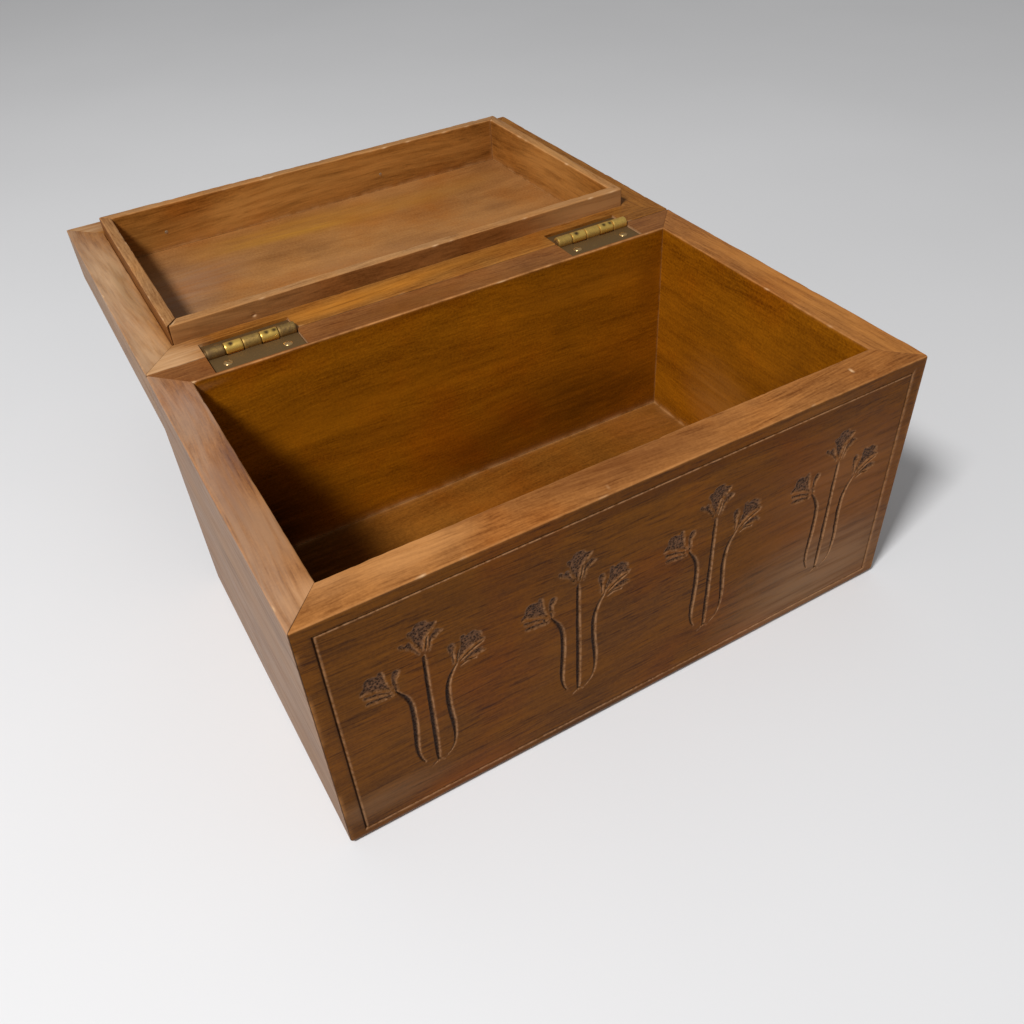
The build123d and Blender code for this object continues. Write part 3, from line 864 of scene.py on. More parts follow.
def carving_tree():
    """Carves stems and petals into the face whose points have the attribute outer."""
    tree, graph, given = new_tree("Carve sprigs", {
        "Stems": "Object", "Petals": "Object", **dict.fromkeys((
            "Face", "Stem depth", "Petal depth", "Edge width", "Brink width", "Tool marks", "Mark size", "Snap",
        ), "Float")})
    stems, petals = (graph.add("GeometryNodeObjectInfo", {"Object": given[label]}).outputs["Geometry"]
                     for label in ("Stems", "Petals"))
    place = graph.add("GeometryNodeInputPosition").outputs[0]
    axes = graph.add("ShaderNodeSeparateXYZ", {0: place}).outputs
    flat = graph.combined(X=axes["X"], Y=given["Face"], Z=axes["Z"])
    outer = graph.stored("outer")

    def nearest(shape, element):
        return graph.add("GeometryNodeProximity", {0: shape, "Source Position": flat},
                         target_element=element).outputs

    def to_light(direction):
        return graph.vector("DOT_PRODUCT", direction, LIT_SIDE)

    # Stems: how far inside the groove's edge a point lies.
    line = nearest(stems, "EDGES")
    index = graph.add("GeometryNodeSampleNearest", {"Geometry": stems, "Sample Position": flat}).outputs[0]
    half = graph.add("GeometryNodeSampleIndex", {
        "Geometry": stems, "Value": graph.stored("half_width"), "Index": index}, data_type="FLOAT").outputs[0]
    inside_stem = graph.math("SUBTRACT", half, line["Distance"])
    from_line = graph.vector("SUBTRACT", flat, line["Position"])
    away = graph.vector("NORMALIZE", from_line)
    # Petals: the same, from their outlines.
    rim = nearest(petals, "EDGES")
    within = graph.math("LESS_THAN", nearest(petals, "FACES")["Distance"], 0.002 * MM)
    inside_petal = graph.times(within, rim["Distance"])
    to_rim = graph.vector("SUBTRACT", rim["Position"], flat)
    outward = graph.vector("SCALE", graph.vector("NORMALIZE", to_rim),
                           Scale=graph.math("MULTIPLY_ADD", within, 2.0, -1.0))

    # Points beside an edge move onto it, so that the cut has a clean line.
    geometry = given["Geometry"]
    to_edge = graph.math("ABSOLUTE", inside_stem)
    shift = graph.vector("SCALE", away, Scale=inside_stem)
    for near, offset in ((to_edge, shift), (rim["Distance"], to_rim)):
        chosen = graph.times(graph.math("LESS_THAN", near, given["Snap"]), outer)
        geometry = graph.add("GeometryNodeSetPosition", {
            "Geometry": geometry, "Offset": graph.vector("SCALE", offset, Scale=chosen)}).outputs[0]

    def sloped(inside, slope):
        return graph.remap(graph.math("DIVIDE", inside, slope), 0.0, 1.0, kind="SMOOTHSTEP")

    groove = sloped(inside_stem, graph.math("MINIMUM", graph.times(half, 0.6), given["Edge width"]))
    hollow = sloped(inside_petal, given["Edge width"])
    stem_cut = graph.times(groove, graph.remap(half, 0.0, 0.7 * MM, 0.45, 1.0))
    cut = graph.math("MAXIMUM", graph.times(stem_cut, given["Stem depth"]),
                     graph.times(hollow, given["Petal depth"]))
    carved = graph.times(graph.math("MAXIMUM", groove, hollow), outer)

    # Painted highlights: pale lines mostly on the edges that face the light.
    def brink(gap, direction, least):
        widths = graph.math("DIVIDE", gap, given["Brink width"])
        return graph.times(graph.math("EXPONENT", graph.times(widths, widths, -1.0)),
                           graph.remap(to_light(direction), -0.4, 0.8, least, 1.0))

    # Painted shade on the other sides of the hollows, those turned away from the light.
    across = graph.math("DIVIDE", to_light(from_line), half)
    stem_painted_shade = graph.times(graph.remap(across, 0.8, -0.3, 0.42, 0.95), groove)
    petal_painted_shade = graph.times(graph.remap(inside_petal, 0.6 * MM, 0.25 * MM),
                            graph.remap(to_light(outward), 0.1, -0.6))
    lee = graph.math("MAXIMUM", stem_painted_shade, graph.times(petal_painted_shade, graph.times(hollow, 0.3)))
    stem_line = graph.times(brink(to_edge, away, 0.0), 0.7)
    both = graph.math("MAXIMUM", graph.times(stem_line, graph.math("SUBTRACT", 1.0, hollow)),
                      graph.times(brink(rim["Distance"], outward, 0.15), 0.8))
    marks = graph.noise(place, graph.math("DIVIDE", 1.0, given["Mark size"]), 1.0)
    marks = graph.times(graph.math("SUBTRACT", marks, 0.5), given["Tool marks"])
    sunk = graph.times(graph.math("ADD", cut, graph.times(marks, carved)), outer)
    for name, value in (
        ("carved", carved),
        ("brink", graph.math("MAXIMUM", graph.times(both, outer), graph.stored("brink"))),
        ("lee", graph.math("MAXIMUM", graph.times(lee, outer), graph.stored("lee"))),
    ):
        geometry = graph.add("GeometryNodeStoreNamedAttribute", {
            "Geometry": geometry, "Name": name, "Value": value}, data_type="FLOAT", domain="POINT").outputs[0]
    geometry = graph.add("GeometryNodeSetPosition", {
        "Geometry": geometry, "Offset": graph.combined(Y=sunk)}).outputs[0]
    close_tree(graph, geometry, given["Material"])
    return tree


def refine(piece, marks, reach, finest=0.42 * MM):
    """Halves the long edges of the outer face that pass near the points and faces of marks."""
    tree = BVHTree.FromPolygons([vertex.co for vertex in marks.data.vertices],
                                [tuple(polygon.vertices) for polygon in marks.data.polygons]) \
        if len(marks.data.polygons) else None
    points = KDTree(len(marks.data.vertices))
    for vertex in marks.data.vertices:
        points.insert(vertex.co, vertex.index)
    points.balance()
    face = marks.data.vertices[0].co.y
    work = bmesh.new()
    work.from_mesh(piece.data)
    outer = work.verts.layers.float["outer"]
    for _ in range(2):
        edges = []
        for edge in work.edges:
            start, end = edge.verts
            if start[outer] < 0.9 or end[outer] < 0.9 or edge.calc_length() < finest:
                continue
            middle = (start.co + end.co) / 2
            middle.y = face
            margin = reach + edge.calc_length() / 2
            if points.find(middle)[2] < margin or (tree and tree.find_nearest(middle, margin)[0]):
                edges.append(edge)
        bmesh.ops.subdivide_edges(work, edges=edges, cuts=1, use_grid_fill=True)
    work.to_mesh(piece.data)
    work.free()


# The border groove: how far in from the ends, and from the rim and the base, its depth and its half widths.
BORDER_END, BORDER_EDGE, BORDER_DEPTH, UPRIGHT_HALF, LEVEL_HALF = mm(5.3, 4.3, 0.5, 0.5, 0.32)


def cut_border(piece, half_length, low, high):
    """Sinks the V groove that runs as a rectangle round the front; its lit walls get a painted highlight, and the
    walls turned from the light a painted shade.
    """
    mesh = piece.data
    points = coordinates(mesh)
    outer = np.zeros(len(points), np.float32)
    mesh.attributes["outer"].data.foreach_get("value", outer)
    x, z = points[:, 0], points[:, 2]
    gaps = np.array([x - half_length, -half_length - x, z - high, low - z])
    upright = gaps.argmax(0) < 2
    share_out = gaps.max(0) / np.where(upright, UPRIGHT_HALF, LEVEL_HALF)
    points[:, 1] += np.clip(1 - np.abs(share_out), 0, 1) * outer * BORDER_DEPTH
    mesh.vertices.foreach_set("co", points.ravel())
    # The right wall of an upright groove and the lower wall of a level one face the light and get the painted
    # highlight; the walls facing the other way get the painted shade.
    facing = np.array([1, -1, -1, 1])[gaps.argmax(0)] * share_out
    store(mesh, "brink", np.clip(1 - np.abs(facing - 0.8) / 0.6, 0, 1) * np.where(upright, 0.7, 1.1) * outer)
    store(mesh, "lee", np.clip(1 - np.abs(facing + 0.2) / 0.9, 0, 1) * np.where(upright, 1.3, 0.5) * outer)
    mesh.update()


# ---------------------------------------------------------------- hinges and fasteners

def setting_tree():
    """Sets a copy of one part on every point, turned by the point's attribute turn."""
    tree, graph, given = new_tree("Set on points", {"Part": "Object", "Spin": "Float", "Seed": "Int"})
    part = graph.add("GeometryNodeObjectInfo", {"Object": given["Part"]}).outputs["Geometry"]
    spin = graph.chance(graph.times(given["Spin"], -1.0), given["Spin"], given["Seed"])
    spun = graph.vector("ADD", graph.stored("turn", "FLOAT_VECTOR"), graph.combined(Z=spin))
    placed = graph.add("GeometryNodeInstanceOnPoints", {
        "Points": given["Geometry"], "Instance": part, "Rotation": spun}).outputs[0]
    close_tree(graph, placed, given["Material"])
    return tree


def set_on_points(name, part, points, turn, material, spin=0.0, seed=0, polish=None):
    """A plain mesh of copies of a part, one at each point; the part itself stays."""
    mesh = bpy.data.meshes.new(name + "_points")
    mesh.from_pydata([tuple(point) for point in points], [], [])
    mesh.attributes.new("turn", "FLOAT_VECTOR", "POINT").data.foreach_set("vector", list(turn) * len(points))
    if polish:
        store(mesh, "polish", polish)
    carrier = linked(name + "_points", mesh)
    tree = bpy.data.node_groups.get("Set on points") or setting_tree()
    grow(carrier, tree, {"Part": part, "Spin": spin, "Seed": seed, "Material": material})
    return plain(carrier, name)


def circle(segments):
    """Points of a circle of radius 1."""
    return [(math.cos(a), math.sin(a)) for a in np.arange(segments) * 2 * math.pi / segments]


def lathe(name, outline, segments, axis="Z", closed=False):
    """A turned shape: outline is (radius, place along the axis); a closed outline has a bore."""
    points, faces, rings = [], [], []
    for radius, along in outline:
        count = segments if radius else 1
        rings.append([len(points) + k % count for k in range(segments)])
        points += [(radius * c, radius * s, along) for c, s in circle(count)]
    for ring, following in [*zip(rings, rings[1:]), *([(rings[-1], rings[0])] if closed else [])]:
        for k in range(segments):
            j = (k + 1) % segments
            faces.append(list(dict.fromkeys((ring[k], ring[j], following[j], following[k]))))
    points = np.array(points)
    return finished(name, points[:, [2, 0, 1]] if axis == "X" else points, faces)


def eased_corner(radius, along, ease, sign):
    """Three points that round an outline's corner, on its way out or back."""
    return [(radius - ease + ease * math.sin(a), along + sign * (ease - ease * math.cos(a)))
            for a in np.radians((0, 45, 90)[::sign])]


def leaf_outline(own, pitch, plate_edge, length_half, side, notch):
    """A leaf's comb-like outline, from its free edge to the straps that roll into its knuckles."""
    points = [(-length_half, side * plate_edge), (length_half, side * plate_edge)]
    count = round(2 * length_half / pitch)
    for number in reversed(range(count)):
        start = -length_half + number * pitch
        reach, grow_by = (0.0, -HALF_GAP) if number in own else (side * notch, HALF_GAP)
        right = start + pitch + (grow_by if number < count - 1 else 0)
        left = start - (grow_by if number > 0 else 0)
        points += [(right, reach), (left, reach)]
    return points


def inside_outline(point, outline):
    """Whether a flat point lies inside an outline."""
    inside = False
    for (x0, y0), (x1, y1) in zip(outline, outline[1:] + outline[:1]):
        if (y0 > point.y) != (y1 > point.y) and point.x < x0 + (point.y - y0) / (y1 - y0) * (x1 - x0):
            inside = not inside
    return inside


def leaf_plate(name, outline, holes, top, ease, hole_top, hole_bottom):
    """A flat plate with an eased upper edge and tapered holes, its upper face at height top."""
    centre = np.mean(outline, axis=0)
    inset = [tuple(np.array(point) + np.sign(centre - np.array(point)) * ease) for point in outline]
    segments = 24
    points, faces, firsts = [], [], []
    for rim, radius, height in ((inset, hole_top, top), (outline, hole_bottom, top - LEAF)):
        flat = [Vector(point) for point in rim]
        edges = [(k, (k + 1) % len(rim)) for k in range(len(rim))]
        for x, y in holes:
            first = len(flat)
            flat += [Vector((x + radius * c, y + radius * s)) for c, s in circle(segments)]
            edges += [(first + k, first + (k + 1) % segments) for k in range(segments)]
        corners, _, triangles, _, _, _ = delaunay_2d_cdt(flat, edges, [], 0, 1e-9)
        firsts.append(len(points))
        for triangle in triangles:
            middle = sum((corners[k] for k in triangle), Vector((0, 0))) / 3
            in_hole = any((middle - Vector(hole)).length < radius for hole in holes)
            if inside_outline(middle, rim) and not in_hole:
                faces.append([len(points) + k for k in triangle])
        points += [(p.x, p.y, height) for p in corners]
    upper, lower = firsts
    count, shoulder = len(outline), len(points)
    points += [(x, y, top - ease) for x, y in outline]

    def band(size, *rings):
        for k in range(size):
            j = (k + 1) % size
            for above, below in zip(rings, rings[1:]):
                faces.append([above + k, above + j, below + j, below + k])

    band(count, upper, shoulder, lower)
    for hole in range(len(holes)):
        start = count + hole * segments
        band(segments, upper + start, lower + start)
    return finished(name, points, faces)


# How bright each knuckle is rubbed, and where along the barrel it is dented.
KNUCKLE_POLISH = dict(left=(0.08, 0.8, 0.25, 0.95, 0.15), right=(0.4, 0.75, 0.5, 1.0, 0.55))
KNUCKLE_DENTS = mm(8.3, 20.3, 22.9)
DENT_SIZE, DENT_DEPTH = 0.8 * MM, 0.25 * MM
DENT_SIDE = np.array((0, math.sin(-0.35), math.cos(0.35)))  # upwards, and a little to the front


def dent(piece, centres, radius):
    """Presses small dents into the tops of the knuckles, dark at their bottoms."""
    points = coordinates(piece.data)
    pit = np.zeros(len(points), np.float32)
    for centre in centres:
        spread = np.linalg.norm(points - (np.array(centre) + radius * DENT_SIDE), axis=1)
        near = np.exp(-((spread / DENT_SIZE) ** 2))
        points -= (near * DENT_DEPTH)[:, None] * DENT_SIDE.astype(np.float32)
        pit = np.maximum(pit, near)
    piece.data.vertices.foreach_set("co", points.ravel())
    store(piece.data, "pit", pit)


def box_mesh(low, high):
    """Points and faces of a block."""
    points = [(x, y, z) for x in (low[0], high[0]) for y in (low[1], high[1]) for z in (low[2], high[2])]
    return points, [(0, 1, 3, 2), (4, 6, 7, 5), (0, 4, 5, 1), (2, 3, 7, 6), (0, 2, 6, 4), (1, 5, 7, 3)]


# ---------------------------------------------------------------- local colours and nicks

# Local changes of colour, among them painted shadows, painted sheen and painted reflection where said: place and
# half sizes in millimetres, colour as shown, strength.
FRONT_TINTS = (
    ((0, -63, 86), (130, 5, 3.4), (80, 40, 4), 0.6),
    ((-60, -63, 76), (60, 5, 9), (62, 28, 4), 0.4),
    ((60, -63, 74), (60, 5, 10), (120, 66, 10), 0.4),
    ((78, -63, 48), (44, 6, 42), (142, 88, 46), 0.5),
    ((-62, -63, 3), (22, 5, 9), (130, 66, 16), 0.45),
    ((46, -63, 4), (26, 5, 10), (126, 66, 16), 0.45),
    # This and the next: painted reflection of the pale floor, a greyish haze low on the front.
    ((-88, -63, 10), (26, 5, 8), (128, 98, 72), 0.4),
    ((70, -63, 14), (48, 6, 26), (150, 114, 82), 0.65),
    # Painted sheen on the left end of the front rim.
    ((-68, -57, 90), (26, 9, 3), (214, 152, 92), 0.5),
    ((2, -56, 90), (52, 10, 5), (88, 40, 6), 0.85),
    ((-42, -55, 90), (22, 1.3, 3), (92, 46, 18), 0.6),
    ((-4, -58, 90), (30, 1, 3), (84, 40, 14), 0.6),
    ((32, -54.5, 90), (28, 0.9, 3), (90, 44, 16), 0.55),
    # Painted sheen on the rim's front left corner.
    ((-93, -56, 90), (12, 9, 3), (206, 150, 98), 0.5),
    ((72, -57, 90), (44, 9, 3), (200, 126, 52), 0.6),
)
WALL_TINTS = {
    "back": (
        ((44, 51, 26), (74, 6, 26), (60, 28, 2), 0.6),
        ((2, 51, 18), (30, 6, 12), (64, 30, 4), 0.4),
        ((-42, 51, 62), (64, 6, 13), (186, 112, 14), 0.4),
        ((-30, 51, 46), (30, 6, 9), (178, 104, 16), 0.3),
        ((58, 51, 80), (40, 6, 9), (182, 112, 24), 0.45),
        ((84, 51, 74), (8, 6, 16), (112, 58, 4), 0.4),
        # Painted shadow of the left wall in the lower left of the back wall's inner face.
        ((-84, 51, 26), (30, 6, 36), (12, 2, 0), 0.85),
        ((-4, 55, 90), (60, 9, 3), (112, 66, 20), 0.55),
        # Painted sheen on the rim's back left corner.
        ((-92, 57, 90), (22, 10, 3), (168, 126, 96), 0.8),
    ),
    "left": (
        # Painted sheen of the light from the left: a greyish glaze over the whole left face, and pale, patchy sheen
        # along its rim.
        ((-101, 0, 40), (10, 330, 260), (166, 141, 121), 0.55),
        ((-93, 48, 90), (16, 32, 3), (154, 128, 112), 1.0),
        ((-90, 8, 90), (7, 20, 3), (94, 74, 72), 0.7),
        ((-96, -4, 90), (5, 24, 3), (140, 104, 82), 0.85),
        ((-92, -26, 90), (12, 26, 3), (158, 120, 90), 0.8),
        ((-92, -54, 90), (12, 12, 3), (196, 148, 106), 0.75),
    ),
    "right": (
        ((94, -10, 90), (9, 80, 3), (196, 130, 62), 0.55),
        ((88, 0, 45), (6, 60, 50), (92, 50, 14), 0.3),
        ((88, 10, 34), (6, 26, 22), (182, 120, 54), 0.45),
        ((88, -30, 60), (6, 18, 26), (88, 46, 12), 0.4),
    ),
}
FLOOR_TINTS = (
    # Painted shadow of the left wall over the floor's left part.
    ((-74, 16, 12), (46, 60, 4), (14, 2, 0), 0.8),
    ((70, 34, 12), (30, 20, 4), (168, 108, 58), 0.4),
)
BORDER_TINTS = {
    "front": (
        ((-4, 71, 90), (60, 6, 5), (214, 136, 44), 0.55),
        ((-22, 70.5, 90), (26, 0.8, 3), (92, 50, 16), 0.6),
        ((20, 68, 90), (30, 0.8, 3), (92, 50, 16), 0.6),
        # Painted sheen on the border's left end.
        ((-92, 70, 90), (20, 14, 3), (206, 162, 118), 0.9),
    ),
    # Its left end: painted sheen.
    "back": (((-94, 184, 90), (12, 8, 3), (190, 154, 116), 0.7),),
    "right": (),
    "left": (
        # This and the next: painted sheen of the light from the left, a greyish glaze on the lid's left face and
        # pale along its border.
        ((-101, 126, 78), (8, 330, 60), (176, 150, 126), 0.5),
        ((-94, 120, 90), (9, 100, 3), (202, 164, 126), 0.75),
        ((-92, 120, 90), (3, 40, 3), (130, 100, 60), 0.4),
    ),
}
TRAY_TINTS = (
    ((-18, 161, 78), (70, 15, 4), (176, 120, 40), 0.5),
    ((-26, 156, 78), (34, 5, 4), (196, 138, 40), 0.3),
    ((46, 158, 78), (40, 11, 4), (168, 114, 44), 0.45),
    ((-60, 138, 78), (24, 18, 4), (128, 102, 84), 0.6),
    ((-78, 124, 78), (24, 50, 6), (150, 122, 100), 0.6),
    ((60, 128, 78), (9, 8, 4), (116, 72, 38), 0.35),
    ((10, 108, 78), (90, 24, 4), (160, 112, 74), 0.35),
)
LIP_TINTS = {
    "front": (
        ((14, 76, 95), (56, 2.4, 3.4), (74, 36, 4), 0.55),
        ((-70, 76, 92), (44, 6, 14), (186, 134, 82), 0.9),
        ((74, 76, 92), (42, 6, 14), (186, 136, 86), 0.85),
        ((0, 76, 90), (60, 2.4, 2), (150, 92, 34), 0.5),
        ((-66, 77.4, 96.3), (20, 1.5, 1), (122, 86, 54), 0.6),
    ),
    "back": (
        ((-10, 171.5, 86), (120, 4, 12), (206, 146, 76), 0.6),
        ((50, 172.4, 88), (1.4, 1, 9), (206, 166, 124), 0.25),
        ((62, 172.4, 88), (1.8, 1, 9), (200, 160, 118), 0.2),
        ((-62, 172.4, 86), (0.9, 1, 3), (206, 166, 124), 0.4),
    ),
    "left": (((-89, 126, 91), (4, 160, 12), (190, 144, 98), 0.6),),
    "right": (((84, 126, 88), (4, 70, 14), (206, 146, 78), 0.5),),
}


def nick(place, size, depth, raw):
    """A nick at a place along, across from the outer face, and up a board, in millimetres."""
    return mm(*place), np.array(size) * MM, depth * MM, raw


FRONT_NICKS = (nick((76.1, 7, 89.5), (0.5, 0.5, 0.5), 0.25, 1.0),
               nick((-12, 2.2, 89.5), (0.6, 0.4, 0.5), 0.2, 0.7))
BACK_NICKS = (nick((88.6, 12.2, 89.5), (1.1, 0.7, 0.9), 0.5, 1.0),
              nick((-20, 12.3, 89.3), (2.2, 0.3, 0.4), 0.2, 0.8))
LIP_NICKS = (nick((-59.9, 0, 90.8), (0.7, 0.5, 0.5), 0.4, 0.9),
             nick((-47, 3.8, 96.1), (2.4, 0.5, 0.6), 0.3, 0.9),
             nick((-30, 3.9, 96.1), (1.4, 0.4, 0.5), 0.25, 0.8),
             nick((-86.5, 2, 96.1), (1.2, 1.4, 1.0), 0.4, 0.8))


# ---------------------------------------------------------------- operators

class KEEPSAKE_OT_carved_front(bpy.types.Operator):
    """Build the front wall with its border groove and its carved sprigs"""

    bl_idname = "keepsake.carved_front"
    bl_label = "Carved front"

    def execute(self, context):
        carving = context.scene.keepsake_carving
        width, height = BOX.x1 - BOX.x0, BOX.z1 - BOX.z0
        border_x, border_low, border_high = width / 2 - BORDER_END, BORDER_EDGE, height - BORDER_EDGE

        def with_grooves(places, centres, half):
            """Places with a groove's bends among them, and none too near these."""
            clear = half + 0.3 * MM
            kept = [place for place in places if all(abs(place - centre) > clear for centre in centres)]
            bends = [centre + step * half for centre in centres for step in (-1, -0.5, 0, 0.5, 1)]
            return sorted(kept + bends)

        stations = with_grooves(spaced(-width / 2, width / 2, 1.2 * MM, END_GAPS),
                                (-border_x, border_x), UPRIGHT_HALF)
        levels = with_grooves(spaced(FOOT_RADIUS, height - RIM_EASING, 1.2 * MM, mm(0.3, 0.6, 1.0)),
                              (border_low, border_high), LEVEL_HALF)
        piece = side_board("front_wall_carved", BOX, "front", FOOT_RADIUS, 1, levels, stations,
                           floor_top=FLOOR_TOP, nicks=FRONT_NICKS)
        cut_border(piece, border_x, border_low, border_high)
        material = wood("Carved front wood", "X", 1, "front", "rim", "inside", FRONT_TINTS, carved=True)
        first_x = -(carving.count - 1) / 2 * carving.pitch
        helpers = []
        for helper in sprig_templates():
            grow(helper, row_tree(), {
                "Count": carving.count, "Pitch": carving.pitch, "Variation": carving.variation,
                "First foot": (first_x, BOX.y0, carving.foot_height), "Seed": carving.seed, "Material": material,
            })
            helpers.append(plain(helper, helper.name + "_row"))
        stems, petals = helpers
        refine(piece, stems, 1.4 * MM)
        refine(piece, petals, 0.9 * MM)
        grow(piece, carving_tree(), {
            "Stems": stems, "Petals": petals, "Face": BOX.y0, "Stem depth": carving.stem_depth,
            "Petal depth": carving.petal_depth, "Edge width": carving.edge_width,
            "Brink width": carving.brink_width, "Tool marks": carving.tool_marks,
            "Mark size": carving.mark_size, "Snap": 0.12 * MM, "Material": material,
        })
        piece = plain(piece, "front_wall_carved")
        for helper in helpers:
            bpy.data.objects.remove(helper)
        dress(piece, "box", "box_wood", material, "front_wall")
        return {"FINISHED"}


def frame_sides(frame_box, nodes, seeds, kinds, tints, body, slot, own, **shared):
    """Builds sides of a mitred frame. seeds are the first ones of their wear and their grain, kinds
    are those of their faces, and own holds what one side adds to the shared settings."""
    for k, (side, node) in enumerate(nodes.items()):
        options = {**shared, **own.get(side, {})}
        piece = side_board(node + "_worn", frame_box, side, seed=seeds[0] + 5 * k, **options)
        faces = [kinds.get((side, face), kinds[face]) for face in ("outer", "top", "inner")]
        title = node.replace("_", " ").capitalize() + " wood"
        grain = "X" if side in ("front", "back") else "Y"
        material = wood(title, grain, seeds[1] + k, *faces, tints[side])
        dress(piece, body, slot, material, node)


class KEEPSAKE_OT_walls(bpy.types.Operator):
    """Build the other three walls and the bottom board"""

    bl_idname = "keepsake.walls"
    bl_label = "Walls and bottom"

    def execute(self, context):
        nodes = {side: BOX_NODES[side] for side in ("back", "left", "right")}
        kinds = {"outer": "side", "top": "rim", "inner": "inside", ("back", "top"): "hinge_rim"}
        back = {"mortises": leaf_mortises("left_box_leaf", True), "nicks": BACK_NICKS,
                "outer_wear": 0.1, "inner_wear": 1.0}
        frame_sides(BOX, nodes, (10, 2), kinds, WALL_TINTS, "box", "box_wood", {"back": back},
                    foot=FOOT_RADIUS, floor_top=FLOOR_TOP, outer_wear=0.25, inner_wear=0.4)
        dress(panel("bottom_board", 31), "box", "board_wood",
              wood("Bottom board wood", "X", 6, "side", None, "floor", FLOOR_TINTS), "bottom_board")
        return {"FINISHED"}


class KEEPSAKE_OT_lid(bpy.types.Operator):
    """Build the lid's rails and board"""

    bl_idname = "keepsake.lid"
    bl_label = "Lid"

    def execute(self, context):
        kinds = {"outer": "side", "top": "border", "inner": "border"}
        front = {"mortises": leaf_mortises("left_lid_leaf", False), "outer_wear": 0.1}
        frame_sides(LID, LID_NODES, (60, 8), kinds, BORDER_TINTS, "lid", "lid_wood", {"front": front},
                    foot=FOOT_RADIUS, outer_wear=0.25)
        dress(panel("lid_board", 33), "lid", "board_wood",
              wood("Tray wood", "X", 13, "side", None, "tray", TRAY_TINTS, 0.42), "lid_board")
        return {"FINISHED"}


class KEEPSAKE_OT_lip(bpy.types.Operator):
    """Build the four strips of the lip"""

    bl_idname = "keepsake.lip"
    bl_label = "Lip"

    def execute(self, context):
        kinds = {"outer": "lip", "top": "lip_top", "inner": "tray_wall"}
        open_mitre = 0.4 * MM
        own = {"front": {"open_ends": (open_mitre, 0.0), "nicks": LIP_NICKS},
               "left": {"open_ends": (0.0, open_mitre)}}
        frame_sides(LIP, LIP_NODES, (90, 15), kinds, LIP_TINTS, "lid", "lip_wood", own,
                    foot=0.0, floor_top=TRAY_TOP, outer_wear=0.25, scars=3)
        return {"FINISHED"}


class KEEPSAKE_OT_hinges(bpy.types.Operator):
    """Build the leaves with their rolled knuckles, and finish the pins"""

    bl_idname = "keepsake.hinges"
    bl_label = "Hinges"

    def execute(self, context):
        settings = context.scene.keepsake_metal
        dark = metal("Tarnished brass", settings.bright, settings.tarnished, 0.5, worn=True)
        bright = metal("Rubbed brass", settings.bright, settings.tarnished, 0.42, worn=True)
        low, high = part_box("left_box_leaf")
        pin_low, pin_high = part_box("left_hinge_pin")
        radius, half, pitch = (high.z - low.z) / 2, (high.x - low.x) / 2, (high.x - low.x) / 5
        bore, ease = (pin_high.z - pin_low.z) / 2 + PIN_CLEARANCE, settings.knuckle_easing
        notch = math.sqrt((radius + LEAF_CLEARANCE) ** 2 - (radius - LEAF) ** 2)
        end = pitch / 2 - HALF_GAP
        barrel = [(radius, x) for x in np.linspace(-end + ease, end - ease, 13)[1:-1]]
        knuckle = lathe("knuckle", [(bore, -end), *eased_corner(radius, -end, ease, 1), *barrel,
                                    *eased_corner(radius, end, ease, -1), (bore, end)], 48, "X", closed=True)
        for name in HINGES:
            low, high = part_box(name + "_box_leaf")
            middle, pin_z = (low.x + high.x) / 2, (low.z + high.z) / 2
            for node, side, own, body, slot, material in (
                (name + "_box_leaf", -1, (0, 2, 4), "box", "dark_brass", dark),
                (name + "_lid_leaf", 1, (1, 3), "lid", "worn_brass", bright),
            ):
                edge = abs((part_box(node)[0 if side < 0 else 1]).y - SEAM)
                outline = [(middle + x, SEAM + y)
                           for x, y in leaf_outline(own, pitch, edge, half, side, notch)]
                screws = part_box(node.replace("leaf", "screws"))
                screw_y, head = (screws[0].y + screws[1].y) / 2, (screws[1].y - screws[0].y) / 2
                holes = [(screws[0].x + head, screw_y), (screws[1].x - head, screw_y)]
                plate = leaf_plate(node + "_plate", outline, holes, low.z + LEAF, settings.plate_easing,
                                   head + PIN_CLEARANCE, 0.95 * MM)
                points = [(middle - half + (number + 0.5) * pitch, SEAM, pin_z) for number in own]
                rolls = set_on_points(node + "_rolls", knuckle, points, (0, 0, 0), material,
                                      polish=[KNUCKLE_POLISH[name][number] for number in own])
                dent(rolls, [Vector((middle - half + x, SEAM, pin_z))
                             for x in KNUCKLE_DENTS if x // pitch in own], radius)
                dress(joined(node + "_worn", [plate, rolls]), body, slot, material, node)
            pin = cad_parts[name + "_hinge_pin"]
            pin.data.materials.clear()
            pin.data.materials.append(dark)
        bpy.data.objects.remove(knuckle)
        return {"FINISHED"}


